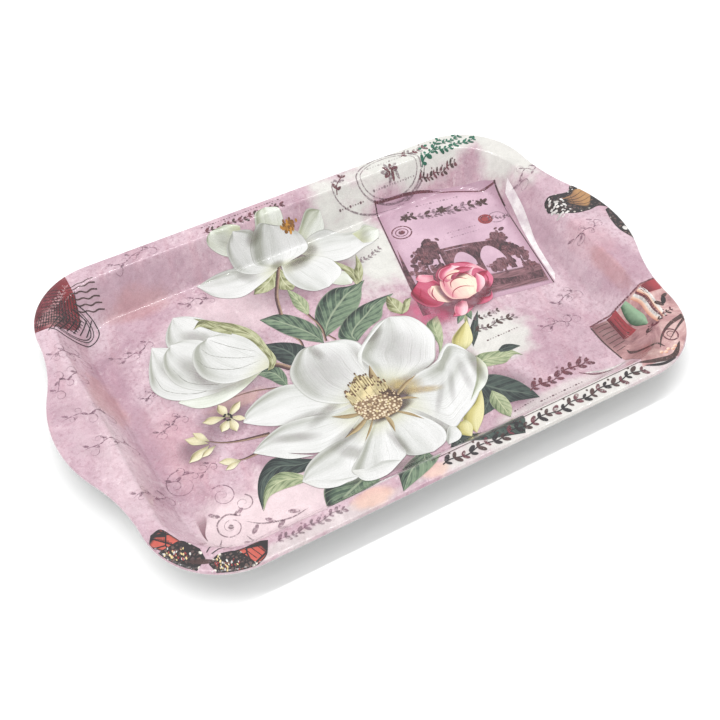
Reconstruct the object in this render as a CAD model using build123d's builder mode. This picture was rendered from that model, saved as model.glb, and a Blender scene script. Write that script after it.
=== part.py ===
"""Serving tray pressed from tinplate, with a wavy ear at each end and a wired edge.

One thin steel sheet is drawn into a dish with a flat flange all round it. The flange widens
into an ear at each end, and its cut edge is curled under round a steel wire. The upper face
carries two coats: a white base coat, and the printed decoration under clear varnish.

Own frame: origin at the middle of the underside of the floor, X along the length, Z up.
"""
from build123d import *
import math
import os

# --- Driving dimensions, in millimetres and degrees ---------------------------------------
LENGTH = 390.0  # over the tips of the two ears
WIDTH = 252.0  # over the straight sides
HEIGHT = 24.0  # underside of the floor to the top of the flange

SHEET = 0.35  # thickness of the tinplate
COAT = 0.05  # thickness of each coat on the upper face

DISH_LENGTH = 332.0  # mouth of the dish, measured on the upper face
DISH_WIDTH = 226.0
DISH_CORNER = 44.0  # corner radius of the mouth
WALL_RUN = 16.0  # how far the wall leans outwards from the floor to the mouth
FLOOR_BEND = 4.5  # inside radius where the floor turns up into the wall
MOUTH_BEND = 3.5  # outside radius where the wall turns out into the flange

EAR_RADIUS = 83.5  # convex arc at the tip of each ear
DIP_RADIUS = 105.5  # concave arc on each side of an ear
CORNER_RADIUS = 48.0  # convex arc at each corner of the tray
CORNER_CENTRE_X = 128.7  # how far along the tray the corner arcs are centred

CURL_RADIUS = 1.5  # outside radius of the curled edge
CURL_TURN = 270.0  # how far the sheet is curled, from the top of the roll
BASE_COAT_TURN = 160.0  # how far round the roll the white base coat reaches
PRINT_TURN = 100.0  # how far round the roll the print reaches
WIRE_CLEARANCE = 0.05  # between the wire and the inside of the curl

# --- Sizes that follow from them ----------------------------------------------------------
FLOOR_LENGTH = DISH_LENGTH - 2 * WALL_RUN
FLOOR_WIDTH = DISH_WIDTH - 2 * WALL_RUN
FLOOR_CORNER = DISH_CORNER - WALL_RUN
WALL_RISE = HEIGHT - SHEET
WALL_ANGLE = math.degrees(math.atan2(WALL_RISE, WALL_RUN))
WALL_TAPER = WALL_ANGLE - 90.0
CREASE_SHIFT = math.tan(math.radians(WALL_ANGLE / 2))
WIRE_RADIUS = CURL_RADIUS - SHEET - WIRE_CLEARANCE
CURL_CENTRE_Z = HEIGHT - CURL_RADIUS

EAR_CENTRE = Vector(LENGTH / 2 - EAR_RADIUS, 0)
CORNER_CENTRE = Vector(CORNER_CENTRE_X, WIDTH / 2 - CORNER_RADIUS)


def dip_centre():
    """Centre of the concave arc that touches the ear arc and the corner arc."""
    to_ear = EAR_RADIUS + DIP_RADIUS
    to_corner = CORNER_RADIUS + DIP_RADIUS
    gap = CORNER_CENTRE - EAR_CENTRE
    along = (to_ear**2 - to_corner**2 + gap.length**2) / (2 * gap.length)
    aside = math.sqrt(to_ear**2 - along**2)
    direction = gap.normalized()
    outwards = Vector(direction.Y, -direction.X)
    return EAR_CENTRE + direction * along + outwards * aside


DIP_CENTRE = dip_centre()


def bearing(start, end):
    """Direction from one point to another, in degrees."""
    return math.degrees(math.atan2(end.Y - start.Y, end.X - start.X))


EAR_SWING = bearing(EAR_CENTRE, DIP_CENTRE)  # half the angle of the ear arc
CORNER_START = bearing(CORNER_CENTRE, DIP_CENTRE)  # where the corner arc begins
DIP_SWING = CORNER_START - EAR_SWING
QUARTER_TURN = 90.0
HALF_TURN = 180.0
UPWARDS = Vector(0, 0, 1)
SAME_PLACE = 0.001  # two heights closer than this are the same


def outline_arcs(inset):
    """Arcs of the wavy outline moved in by inset: centre, radius, start, swing, bulges out."""
    ear = EAR_RADIUS - inset
    dip = DIP_RADIUS + inset
    corner = CORNER_RADIUS - inset
    corner_swing = QUARTER_TURN - CORNER_START
    arcs = []
    for end in (1, -1):
        facing = 0.0 if end == 1 else HALF_TURN
        lower_corner = Vector(CORNER_CENTRE.X, -CORNER_CENTRE.Y) * end
        lower_dip = Vector(DIP_CENTRE.X, -DIP_CENTRE.Y) * end
        dip_end = facing + HALF_TURN
        arcs.append((lower_corner, corner, facing - QUARTER_TURN, corner_swing, True))
        arcs.append((lower_dip, dip, dip_end - EAR_SWING, -DIP_SWING, False))
        arcs.append((EAR_CENTRE * end, ear, facing - EAR_SWING, 2 * EAR_SWING, True))
        arcs.append((DIP_CENTRE * end, dip, dip_end + CORNER_START, -DIP_SWING, False))
        arcs.append((CORNER_CENTRE * end, corner, facing + CORNER_START, corner_swing, True))
    return arcs


def outline(inset):
    """Draw the wavy outline, moved in by inset, as tangent arcs and two straight sides."""
    for centre, radius, start, swing, _ in outline_arcs(inset):
        CenterArc(centre, radius, start, swing)
    for side in (WIDTH / 2 - inset, inset - WIDTH / 2):
        Line((-CORNER_CENTRE_X, side), (CORNER_CENTRE_X, side))


def curl_section(low, high, turn):
    """Section of a layer of the curl: part of a ring, from its top, outwards and under."""
    with BuildSketch() as section:
        with BuildLine():
            outer = CenterArc((0, 0), CURL_RADIUS + high, QUARTER_TURN, -turn)
            inner = CenterArc((0, 0), CURL_RADIUS + low, QUARTER_TURN, -turn)
            Line(outer @ 0, inner @ 0)
            Line(outer @ 1, inner @ 1)
        make_face()
    return section.sketch


def roll_round(section):
    """Carry a section round the edge of the tray: one revolved span for each arc, two sides."""
    with BuildPart() as roll:
        for centre, radius, start, swing, bulges in outline_arcs(CURL_RADIUS):
            ray = Vector(1, 0).rotate(Axis.Z, start)
            spot = centre + ray * radius + UPWARDS * CURL_CENTRE_Z
            outwards = ray if bulges else ray * -1
            with BuildSketch(Plane(spot, x_dir=outwards, z_dir=outwards.cross(UPWARDS))):
                add(section)
            revolve(axis=Axis(centre, UPWARDS), revolution_arc=swing)
        for end in (1, -1):
            side = Vector(CORNER_CENTRE_X, WIDTH / 2 - CURL_RADIUS) * end
            outwards = Vector(0, end)
            spot = side + UPWARDS * CURL_CENTRE_Z
            with BuildSketch(Plane(spot, x_dir=outwards, z_dir=outwards.cross(UPWARDS))):
                add(section)
            extrude(amount=-2 * CORNER_CENTRE_X)
    return roll.part


def dish_block(offset, top):
    """Solid the shape of the dish, from the floor at this offset from the upper face to top."""
    shift = offset * CREASE_SHIFT
    floor_z = SHEET + offset
    with BuildPart() as block:
        with BuildSketch(Plane.XY.offset(floor_z)):
            RectangleRounded(
                FLOOR_LENGTH - 2 * shift,
                FLOOR_WIDTH - 2 * shift,
                FLOOR_CORNER - shift,
            )
        extrude(amount=top - floor_z, taper=WALL_TAPER)
        floor_edges = block.edges().group_by(Axis.Z)[0]
        fillet(floor_edges, radius=FLOOR_BEND - offset)
    return block.part


def mouth_edges(layer, z):
    """Edges round the mouth of the dish, on the flange's flat face at this height."""
    flange_face = layer.faces().filter_by_position(Axis.Z, z - SAME_PLACE, z + SAME_PLACE)[0]
    return flange_face.inner_wires()[0].edges()


def sheet_layer(low, high, turn):
    """One layer of the pressed sheet, between two offsets from the steel's upper face.

    The layer covers the floor, the wall and the flange, and goes round the curl by turn.
    """
    under = HEIGHT + low
    top = HEIGHT + high

    outside = dish_block(low, top)
    inside = dish_block(high, top)
    with BuildPart() as layer:
        with BuildSketch(Plane.XY.offset(under)):
            with BuildLine():
                outline(CURL_RADIUS)
            make_face()
        extrude(amount=high - low)
        add(outside)
        fillet(mouth_edges(layer, under), radius=MOUTH_BEND + low)
        add(inside, mode=Mode.SUBTRACT)
        fillet(mouth_edges(layer, top), radius=MOUTH_BEND + high)
        add(roll_round(curl_section(low, high, turn)))
    return layer


# --- The pieces ---------------------------------------------------------------------------
# Tinplate sheet, drawn, trimmed and curled
tray_pan = sheet_layer(-SHEET, 0.0, CURL_TURN)
tray_pan.part.label = "tray_pan"

# Steel wire that the edge is curled round
with BuildSketch() as wire_section:
    Circle(WIRE_RADIUS)
with BuildPart() as rim_wire:
    add(roll_round(wire_section.sketch))
rim_wire.part.label = "rim_wire"

# White coat that the print stands on; it shows as a thin margin outside the print
base_coat = sheet_layer(0.0, COAT, BASE_COAT_TURN)
base_coat.part.label = "base_coat"

# Printed decoration under clear varnish
printed_face = sheet_layer(COAT, 2 * COAT, PRINT_TURN)
printed_face.part.label = "printed_face"

# --- Export -------------------------------------------------------------------------------
os.makedirs("parts", exist_ok=True)
for piece in (tray_pan, rim_wire, base_coat, printed_face):
    solids = piece.part.solids()
    size = piece.part.bounding_box().size
    print(piece.part.label, len(solids), "solid", round(piece.part.volume, 1), "mm3", size)
    export_step(piece.part, f"parts/{piece.part.label}.step")
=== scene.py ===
# %% [markdown]
# # A printed tin serving tray
# The tray is one sheet of tinplate. It was coated white, printed with flowers, varnished, pressed
# into a dish with a flat flange, and its edge was curled round a wire. We load the finished
# engineering model, and give it its surfaces: the tin underneath, the white coat, the printed
# ground, and then the picture, drawn one layer of ink after another.

import bpy
import math
import numpy as np
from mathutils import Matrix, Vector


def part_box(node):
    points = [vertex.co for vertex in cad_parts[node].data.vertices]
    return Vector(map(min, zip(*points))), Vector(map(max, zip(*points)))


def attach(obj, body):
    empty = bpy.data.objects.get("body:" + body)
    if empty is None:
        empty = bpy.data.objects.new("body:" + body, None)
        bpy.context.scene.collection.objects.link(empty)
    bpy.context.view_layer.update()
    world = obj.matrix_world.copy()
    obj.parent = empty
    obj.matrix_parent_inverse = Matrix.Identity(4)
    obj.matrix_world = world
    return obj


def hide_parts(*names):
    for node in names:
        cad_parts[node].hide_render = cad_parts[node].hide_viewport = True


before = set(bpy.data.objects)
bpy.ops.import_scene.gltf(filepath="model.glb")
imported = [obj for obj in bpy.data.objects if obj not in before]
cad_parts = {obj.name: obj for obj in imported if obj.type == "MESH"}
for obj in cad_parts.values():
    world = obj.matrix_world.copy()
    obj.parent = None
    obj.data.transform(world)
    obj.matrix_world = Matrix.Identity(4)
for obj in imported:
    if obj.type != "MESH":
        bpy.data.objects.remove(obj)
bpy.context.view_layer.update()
print("nodes:", sorted(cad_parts))

# %% [markdown]
# ## Sizes
# The engineering model gives the overall sizes. The radii of the pressing are those that the
# toolmaker used, in millimetres, because a tray is easier to think about in millimetres than in
# metres. Only the last step of each mesh turns them into metres.

# %% Sizes of the pressing, in millimetres
MM = 0.001
low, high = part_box("tray_pan")
LENGTH = 390.0
WIDTH = 252.0
HEIGHT = 24.0
SHEET = 0.35
DISH = (332.0, 226.0)
DISH_CORNER = 44.0
WALL_RUN = 16.0
FLOOR_BEND = 4.5
MOUTH_BEND = 3.5
EAR_RADIUS = 83.5
DIP_RADIUS = 105.5
CORNER_RADIUS = 48.0
CORNER_CENTRE = np.array([128.7, WIDTH / 2 - CORNER_RADIUS])
CURL_RADIUS = 1.5
COAT = 0.03
COAT_LIFT = 0.045
print("pan is", [round((b - a) / MM, 1) for a, b in zip(low, high)], "mm")

# %% [markdown]
# ## Camera
# The tray is seen from above and from its front left, with a moderately long lens, so that its
# far end looks only a little smaller than its near end. The camera's place and its turn both
# come from the same two angles, so it points at the aim point without an extra object.

# %% Camera
AZIMUTH = math.radians(-29.97)
ELEVATION = math.radians(48.41)
DISTANCE = 0.7332
LENS = 59.41
AIM = np.array([-0.00639, -0.01194, 0.0])


def deselect():
    """Clear the selection, because an operator acts on everything that is selected."""
    if bpy.context.mode != "OBJECT":
        bpy.ops.object.mode_set(mode="OBJECT")
    bpy.ops.object.select_all(action="DESELECT")


deselect()
looking = np.array(
    [
        -math.sin(AZIMUTH) * math.cos(ELEVATION),
        math.cos(AZIMUTH) * math.cos(ELEVATION),
        -math.sin(ELEVATION),
    ]
)
bpy.ops.object.camera_add(
    location=tuple(AIM - looking * DISTANCE),
    rotation=(math.pi / 2 - ELEVATION, 0, AZIMUTH),
)
camera = bpy.context.object
camera.data.lens = LENS
camera.data.sensor_width = 36.0
bpy.context.scene.camera = camera
bpy.context.scene.view_settings.view_transform = "Standard"
print("camera stands at", [round(x, 3) for x in camera.location])

# %% [markdown]
# ## Floor and light
# A white sheet of card and three soft lamps: a wide one overhead and a little to the left, a
# long narrow one above the tray, which draws the bright line along the far bend of the floor,
# and a weak one at the left that fills the shaded walls. A white world lights the rest.

# %% Floor and lamps
FLOOR_SIZE = 6.0


def principled(name, color, roughness, **sockets):
    """New material with one Principled shader, its constants set on the shader itself."""
    material = bpy.data.materials.new(name)
    material.use_nodes = True
    shader = material.node_tree.nodes["Principled BSDF"]
    shader.inputs["Base Color"].default_value = (*color, 1.0)
    shader.inputs["Roughness"].default_value = roughness
    for socket, value in sockets.items():
        shader.inputs[socket.replace("_", " ")].default_value = value
    return material, material.node_tree, shader


bpy.ops.mesh.primitive_plane_add(size=FLOOR_SIZE, location=(0, 0, 0))
floor = bpy.context.object
floor.name = "card_floor"
floor_material, _, _ = principled("white_card", (0.93, 0.93, 0.93), 0.9)
floor.data.materials.append(floor_material)


def softbox(name, place, aim, size, power):
    """Rectangular lamp at a place, turned towards an aim point."""
    bpy.ops.object.light_add(type="AREA", location=place)
    lamp = bpy.context.object
    lamp.name = name
    lamp.data.shape = "RECTANGLE"
    lamp.data.size, lamp.data.size_y = size
    lamp.data.energy = power
    back = lamp.location - lamp.location.__class__(aim)
    lamp.rotation_euler = back.to_track_quat("Z", "Y").to_euler()


softbox("overhead", (-0.5, 0.1, 1.9), (0, 0, 0), (1.6, 1.6), 7)
softbox("crease_strip", (0.0, 0.12, 1.5), (0, 0, 0), (2.4, 0.05), 12)
softbox("left_fill", (-1.6, -0.6, 1.1), (0, 0, 0), (0.9, 0.9), 3)
world = bpy.data.worlds.new("studio_white")
bpy.context.scene.world = world
world.use_nodes = True
world.node_tree.nodes["Background"].inputs["Color"].default_value = (1.0, 1.0, 1.0, 1.0)
world.node_tree.nodes["Background"].inputs["Strength"].default_value = 0.92

# %% [markdown]
# ## The shape of the pressing
# Every layer of the tray has the same shape, so one function gives the height of the upper face
# above any point of the plan. The section is a floor, a bend, a leaning wall, a second bend and a
# flat flange; the edge then rolls over. The offset moves the face out of the sheet, squarely to
# it, which is what a coat of paint does.

# %% Section of the dish and outline of the edge
WALL_RISE = HEIGHT - SHEET
WALL_ANGLE = math.atan2(WALL_RISE, WALL_RUN)
CREASE = math.tan(WALL_ANGLE / 2)
CORE = np.array([DISH[0] / 2 - DISH_CORNER, DISH[1] / 2 - DISH_CORNER])
FLOOR_CORNER = DISH_CORNER - WALL_RUN
BEND_START = FLOOR_CORNER - FLOOR_BEND * CREASE
BEND_STOP = DISH_CORNER + MOUTH_BEND * CREASE
EAR_CENTRE = np.array([LENGTH / 2 - EAR_RADIUS, 0.0])


def find_dip_centre():
    """Centre of the hollow arc that touches the ear arc and the corner arc."""
    gap = CORNER_CENTRE - EAR_CENTRE
    span = np.linalg.norm(gap)
    to_ear = EAR_RADIUS + DIP_RADIUS
    to_corner = CORNER_RADIUS + DIP_RADIUS
    along = (to_ear**2 - to_corner**2 + span**2) / (2 * span)
    aside = math.sqrt(to_ear**2 - along**2)
    way = gap / span
    return EAR_CENTRE + way * along + np.array([way[1], -way[0]]) * aside


DIP_CENTRE = find_dip_centre()
EAR_SWING = math.atan2(*(DIP_CENTRE - EAR_CENTRE)[::-1])
CORNER_START = math.atan2(*(DIP_CENTRE - CORNER_CENTRE)[::-1])


def edge_distance(x, y):
    """How far a point lies outside the tray's edge (negative inside), and the way out."""
    ax, ay = np.abs(x), np.abs(y)
    point = np.stack([ax, ay], -1)
    ear, dip, corner = (point - c for c in (EAR_CENTRE, DIP_CENTRE, CORNER_CENTRE))
    r_ear, r_dip, r_corner = (np.linalg.norm(v, axis=-1) + 1e-9 for v in (ear, dip, corner))
    turn_ear = np.arctan2(ear[..., 1], ear[..., 0])
    turn_corner = np.arctan2(corner[..., 1], corner[..., 0])
    on_side = (ax <= CORNER_CENTRE[0]) & (ay > CORNER_CENTRE[1] * ax / CORNER_CENTRE[0])
    on_corner = (ax > CORNER_CENTRE[0]) & (turn_corner >= CORNER_START)
    on_ear = turn_ear <= EAR_SWING
    away = np.where(on_ear, r_ear - EAR_RADIUS, DIP_RADIUS - r_dip)
    out = np.where(on_ear[..., None], ear / r_ear[..., None], -dip / r_dip[..., None])
    away = np.where(on_corner, r_corner - CORNER_RADIUS, away)
    out = np.where(on_corner[..., None], corner / r_corner[..., None], out)
    away = np.where(on_side, ay - WIDTH / 2, away)
    out = np.where(on_side[..., None], np.array([0.0, 1.0]), out)
    return away, out * np.stack([np.where(x < 0, -1, 1), np.where(y < 0, -1, 1)], -1)


def dish_distance(x, y):
    """How far a point lies outside the straight-sided core of the dish."""
    over = np.maximum(np.stack([np.abs(x), np.abs(y)], -1) - CORE, 0)
    return np.linalg.norm(over, axis=-1)


def face_height(x, y, offset):
    """Height of the tray's upper face over a point of the plan, moved out by the offset."""
    d = dish_distance(x, y)
    floor_r, mouth_r = FLOOR_BEND - offset, MOUTH_BEND + offset
    rise_from = BEND_START + floor_r * math.sin(WALL_ANGLE)
    rise_to = BEND_STOP - mouth_r * math.sin(WALL_ANGLE)
    low_z = SHEET + FLOOR_BEND - floor_r * math.cos(WALL_ANGLE)
    high_z = HEIGHT - MOUTH_BEND + mouth_r * math.cos(WALL_ANGLE)
    z = np.full_like(d, SHEET + offset)
    inner = np.clip(d - BEND_START, 0, floor_r * math.sin(WALL_ANGLE))
    z = np.where(d > BEND_START, SHEET + FLOOR_BEND - np.sqrt(floor_r**2 - inner**2), z)
    part = (d - rise_from) / (rise_to - rise_from)
    z = np.where(d > rise_from, low_z + (high_z - low_z) * part, z)
    outer = np.clip(BEND_STOP - d, 0, mouth_r * math.sin(WALL_ANGLE))
    z = np.where(d > rise_to, HEIGHT - MOUTH_BEND + np.sqrt(mouth_r**2 - outer**2), z)
    over = np.clip(edge_distance(x, y)[0] + CURL_RADIUS, 0, CURL_RADIUS + offset)
    drop = CURL_RADIUS + offset - np.sqrt((CURL_RADIUS + offset) ** 2 - over**2)
    return z - drop


print("wall leans", round(90 - math.degrees(WALL_ANGLE), 1), "degrees from upright")

# %% [markdown]
# ## Sheet, coat and printed ground
# All three are made from one flat grid whose columns are places round the tray and whose rows
# are steps of the section. A wavy outline can't be had from a primitive by extruding, but a grid
# wrapped round it gives even faces, which a glossy finish needs. Solidify gives each its
# thickness.

# %% Wrap a grid round the tray
STEPS = {"side": 8, "corner": 24, "dip": 12, "ear": 14}
BEND_STEPS = 8
FLOOR_MARGIN = 6.0
BEND_MARGIN = 0.6
ROLL_STEP = 15
SMOOTH_ANGLE = math.radians(50)


def places_round_the_edge():
    """Points of the roll's centre line, their outward normals, and matching core points."""
    spots, ways, cores, core_ways = [], [], [], []

    def add(centre, radius, angle, sign, core, core_way):
        way = np.array([math.cos(angle), math.sin(angle)])
        spots.append(centre + way * radius)
        ways.append(way * sign)
        cores.append(core)
        core_ways.append(core_way)

    end_reach = DIP_CENTRE[1] - DIP_RADIUS * math.sin(CORNER_START)
    for k in range(STEPS["ear"]):
        angle = EAR_SWING * k / STEPS["ear"]
        y = EAR_RADIUS * math.sin(angle) / end_reach * CORE[1]
        add(EAR_CENTRE, EAR_RADIUS - CURL_RADIUS, angle, 1, (CORE[0], y), (1.0, 0.0))
    for k in range(STEPS["dip"]):
        turn = EAR_SWING + (CORNER_START - EAR_SWING) * k / STEPS["dip"]
        angle = math.pi + turn
        y = (DIP_CENTRE[1] + DIP_RADIUS * math.sin(angle)) / end_reach * CORE[1]
        add(DIP_CENTRE, DIP_RADIUS + CURL_RADIUS, angle, -1, (CORE[0], y), (1.0, 0.0))
    for k in range(STEPS["corner"]):
        part = k / STEPS["corner"]
        angle = CORNER_START + (math.pi / 2 - CORNER_START) * part
        turn = math.pi / 2 * part
        way = (math.cos(turn), math.sin(turn))
        add(CORNER_CENTRE, CORNER_RADIUS - CURL_RADIUS, angle, 1, tuple(CORE), way)
    for k in range(STEPS["side"]):
        x = CORNER_CENTRE[0] * (1 - k / STEPS["side"])
        spots.append(np.array([x, WIDTH / 2 - CURL_RADIUS]))
        ways.append(np.array([0.0, 1.0]))
        cores.append((x * CORE[0] / CORNER_CENTRE[0], CORE[1]))
        core_ways.append((0.0, 1.0))
    quarter = [np.array(v, float) for v in (spots, ways, cores, core_ways)]
    flip = np.array([-1.0, 1.0])
    top = [np.array([0.0, WIDTH / 2 - CURL_RADIUS]), np.array([0.0, 1.0])]
    top += [np.array([0.0, CORE[1]]), np.array([0.0, 1.0])]
    whole = []
    for v, crest in zip(quarter, top):
        half = np.vstack([v, [crest], (v * flip)[::-1]])
        whole.append(np.vstack([half, -half[1:-1]]))
    return whole


SPOTS, WAYS, CORES, CORE_WAYS = places_round_the_edge()
ROUND = len(SPOTS)


def section_rings(offset, turn):
    """Rings of points from the floor outwards, over the flange and round the roll."""
    rings = []

    def dish_ring(d, z):
        rings.append(np.column_stack([CORES + CORE_WAYS * d, np.full(ROUND, z)]))

    dish_ring(BEND_START - FLOOR_MARGIN, SHEET + offset)
    dish_ring(BEND_START - BEND_MARGIN, SHEET + offset)
    for k in range(BEND_STEPS + 1):
        angle = WALL_ANGLE * k / BEND_STEPS
        r = FLOOR_BEND - offset
        dish_ring(BEND_START + r * math.sin(angle), SHEET + FLOOR_BEND - r * math.cos(angle))
    for k in range(BEND_STEPS + 1):
        angle = WALL_ANGLE * (1 - k / BEND_STEPS)
        r = MOUTH_BEND + offset
        dish_ring(BEND_STOP - r * math.sin(angle), HEIGHT - MOUTH_BEND + r * math.cos(angle))
    dish_ring(BEND_STOP + BEND_MARGIN, HEIGHT + offset)
    inner = SPOTS - WAYS * BEND_MARGIN
    rings.append(np.column_stack([inner, np.full(ROUND, HEIGHT + offset)]))
    roll_steps = max(4, round(turn / ROLL_STEP))
    for k in range(roll_steps + 1):
        angle = math.radians(90 - turn * k / roll_steps)
        r = CURL_RADIUS + offset
        place = SPOTS + WAYS * r * math.cos(angle)
        z = HEIGHT - CURL_RADIUS + r * math.sin(angle)
        rings.append(np.column_stack([place, np.full(ROUND, z)]))
    return np.array(rings)


grids = {}


def flat_grid(columns, rows):
    """A new grid, and the column and row number of each of its vertices.

    A size that was made before is copied, with a mesh of its own.
    """
    if (columns, rows) in grids:
        mesh, i, j = grids[columns, rows]
        piece = bpy.data.objects.new("shape", mesh.copy())
        bpy.context.collection.objects.link(piece)
        return piece, i, j
    deselect()
    bpy.ops.mesh.primitive_grid_add(x_subdivisions=columns, y_subdivisions=rows, size=1)
    piece = bpy.context.object
    co = np.empty(len(piece.data.vertices) * 3)
    piece.data.vertices.foreach_get("co", co)
    co = co.reshape(-1, 3)
    i = np.rint((co[:, 0] + 0.5) * columns).astype(int)
    j = np.rint((co[:, 1] + 0.5) * rows).astype(int)
    grids[columns, rows] = (piece.data.copy(), i, j)
    return piece, i, j


def place_vertices(piece, points):
    """Move each vertex of a piece to its point, given in millimetres."""
    piece.data.vertices.foreach_set("co", (np.asarray(points) * MM).ravel())
    piece.data.update()


def pressed_layer(name, offset, turn, thickness):
    """One layer of the tray: a wrapped grid, closed in the middle, made solid."""
    rings = section_rings(offset, turn)
    piece, i, j = flat_grid(ROUND, len(rings) - 1)
    piece.name = name
    place_vertices(piece, rings[j, i % ROUND])
    bpy.ops.object.mode_set(mode="EDIT")
    bpy.ops.mesh.select_all(action="SELECT")
    bpy.ops.mesh.remove_doubles(threshold=1e-6)
    bpy.ops.mesh.select_all(action="DESELECT")
    bpy.ops.object.mode_set(mode="OBJECT")
    centre_ring = rings[0] * MM
    reach = np.abs(centre_ring).max(axis=0) + 1e-5
    for vertex in piece.data.vertices:
        vertex.select = abs(vertex.co.x) < reach[0] and abs(vertex.co.y) < reach[1]
    bpy.ops.object.mode_set(mode="EDIT")
    bpy.ops.mesh.select_mode(type="VERT")
    bpy.ops.mesh.edge_face_add()
    bpy.ops.mesh.select_all(action="SELECT")
    bpy.ops.mesh.normals_make_consistent(inside=False)
    bpy.ops.object.mode_set(mode="OBJECT")
    if max(piece.data.polygons, key=lambda p: p.area).normal.z < 0:
        bpy.ops.object.mode_set(mode="EDIT")
        bpy.ops.mesh.flip_normals()
        bpy.ops.object.mode_set(mode="OBJECT")
    solid = piece.modifiers.new("thickness", "SOLIDIFY")
    solid.thickness = thickness * MM
    solid.offset = -1
    bpy.ops.object.modifier_apply(modifier=solid.name)
    bpy.ops.object.shade_smooth_by_angle(angle=SMOOTH_ANGLE)
    print(name, len(piece.data.polygons), "faces")
    return piece


tin_sheet = pressed_layer("tin_sheet", 0.0, 270, SHEET)
white_coat = pressed_layer("white_coat", COAT_LIFT, 160, COAT)
print_ground = pressed_layer("print_ground", 2 * COAT_LIFT, 93, COAT)
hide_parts("tray_pan")
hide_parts("base_coat")
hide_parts("printed_face")

# %% [markdown]
# ## Tools for paint
# The whole print is mixed from a few inks, so the same handful of node helpers builds every
# material. Colours are written as they look on a screen, and turned into linear light here.

# %% Helpers for shader nodes


def tint(red, green, blue):
    """Screen colour, 0 to 255, as the linear colour that a shader wants."""
    c = np.array([red, green, blue]) / 255.0
    linear = np.where(c <= 0.04045, c / 12.92, ((c + 0.055) / 1.055) ** 2.4)
    return (*(float(v) for v in linear), 1.0)


def put(tree, kind, inputs, **settings):
    """Add a node, set its properties, and wire or set its inputs."""
    made = tree.nodes.new("ShaderNode" + kind)
    for key, value in settings.items():
        setattr(made, key, value)
    for key, value in inputs.items():
        if isinstance(value, bpy.types.NodeSocket):
            tree.links.new(value, made.inputs[key])
        else:
            made.inputs[key].default_value = value
    return made


def calc(tree, operation, *values, clamp=False):
    """Result of a sum on one to three values."""
    made = put(tree, "Math", dict(enumerate(values)), operation=operation, use_clamp=clamp)
    return made.outputs[0]


def times(tree, value, factor, plus=None, clamp=False):
    """Product of two values, with a third one added to it if there is one."""
    if plus is None:
        return calc(tree, "MULTIPLY", value, factor, clamp=clamp)
    return calc(tree, "MULTIPLY_ADD", value, factor, plus, clamp=clamp)


def mix(tree, factor, first, second, mode="MIX"):
    """Two colours mixed."""
    sockets = {0: factor, 6: first, 7: second}
    return put(tree, "Mix", sockets, data_type="RGBA", blend_type=mode).outputs[2]


def wash(tree, under, over, mask, strength):
    """The second colour over the first, where a mask lets it, at a strength of 0 to 1."""
    return mix(tree, times(tree, mask, strength), under, over)


def step(tree, value, start, stop):
    """Smooth step from 0 at start to 1 at stop."""
    sockets = {"Value": value, "From Min": start, "From Max": stop}
    return put(tree, "MapRange", sockets, interpolation_type="SMOOTHSTEP").outputs[0]


def shades(tree, value, *stops):
    """Colour ramp through (position, colour) stops."""
    made = put(tree, "ValToRGB", {0: value})
    elements = made.color_ramp.elements
    elements.remove(elements[1])
    elements[0].position, elements[0].color = stops[0]
    for position, color in stops[1:]:
        elements.new(position).color = color
    return made.outputs[0]


def grain(tree, at, scale, detail=3.0, rough=0.55, warp=0.0):
    """Noise value at a place."""
    sockets = {"Vector": at, "Scale": scale, "Detail": detail, "Roughness": rough}
    return put(tree, "TexNoise", {**sockets, "Distortion": warp}).outputs[0]


def stretched(tree, at, x, y, turn=0.0):
    """Coordinates scaled differently along and across, after a turn in the plane."""
    turned = put(tree, "VectorRotate", {"Vector": at, "Angle": turn}, rotation_type="Z_AXIS")
    scaled = put(tree, "VectorMath", {0: turned.outputs[0], 1: (x, y, 1.0)}, operation="MULTIPLY")
    return scaled.outputs[0]


print("ink helpers ready")

# %% [markdown]
# ## Varnish
# One clear varnish lies over the whole print, so its faint orange peel, its dulled patches and
# the fine specks of the ink under it are one group that every printed material shares.

# %% Node groups shared by the inks


def new_group(name, inputs, outputs):
    """Empty shader group with the given sockets."""
    group = bpy.data.node_groups.new(name, "ShaderNodeTree")
    for label, kind in inputs:
        group.interface.new_socket(label, in_out="INPUT", socket_type="NodeSocket" + kind)
    for label, kind in outputs:
        group.interface.new_socket(label, in_out="OUTPUT", socket_type="NodeSocket" + kind)
    return group, group.nodes.new("NodeGroupInput"), group.nodes.new("NodeGroupOutput")


def varnish_group():
    """Colour with specks of ink, varying gloss, and the height of the varnish."""
    group, given, result = new_group(
        "varnish",
        [("Color", "Color"), ("Vector", "Vector")],
        [("Color", "Color"), ("Roughness", "Float"), ("Height", "Float")],
    )
    color, at = given.outputs["Color"], given.outputs["Vector"]
    specks = grain(group, at, 1500, 2.0)
    cloud = grain(group, at, 70, 4.0)
    dark = times(group, specks, 0.34, 0.68)
    dark = times(group, cloud, 0.10, dark)
    shade = put(group, "CombineColor", {0: dark, 1: dark, 2: dark}).outputs[0]
    group.links.new(mix(group, 1.0, color, shade, "MULTIPLY"), result.inputs["Color"])
    dull = step(group, grain(group, at, 26, 5.0, 0.6), 0.5, 0.75)
    gloss = times(group, dull, 0.10, 0.20)
    gloss = times(group, specks, 0.06, gloss)
    group.links.new(gloss, result.inputs["Roughness"])
    peel = times(group, specks, 0.25, grain(group, at, 330, 2.0))
    group.links.new(peel, result.inputs["Height"])
    return group


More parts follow.
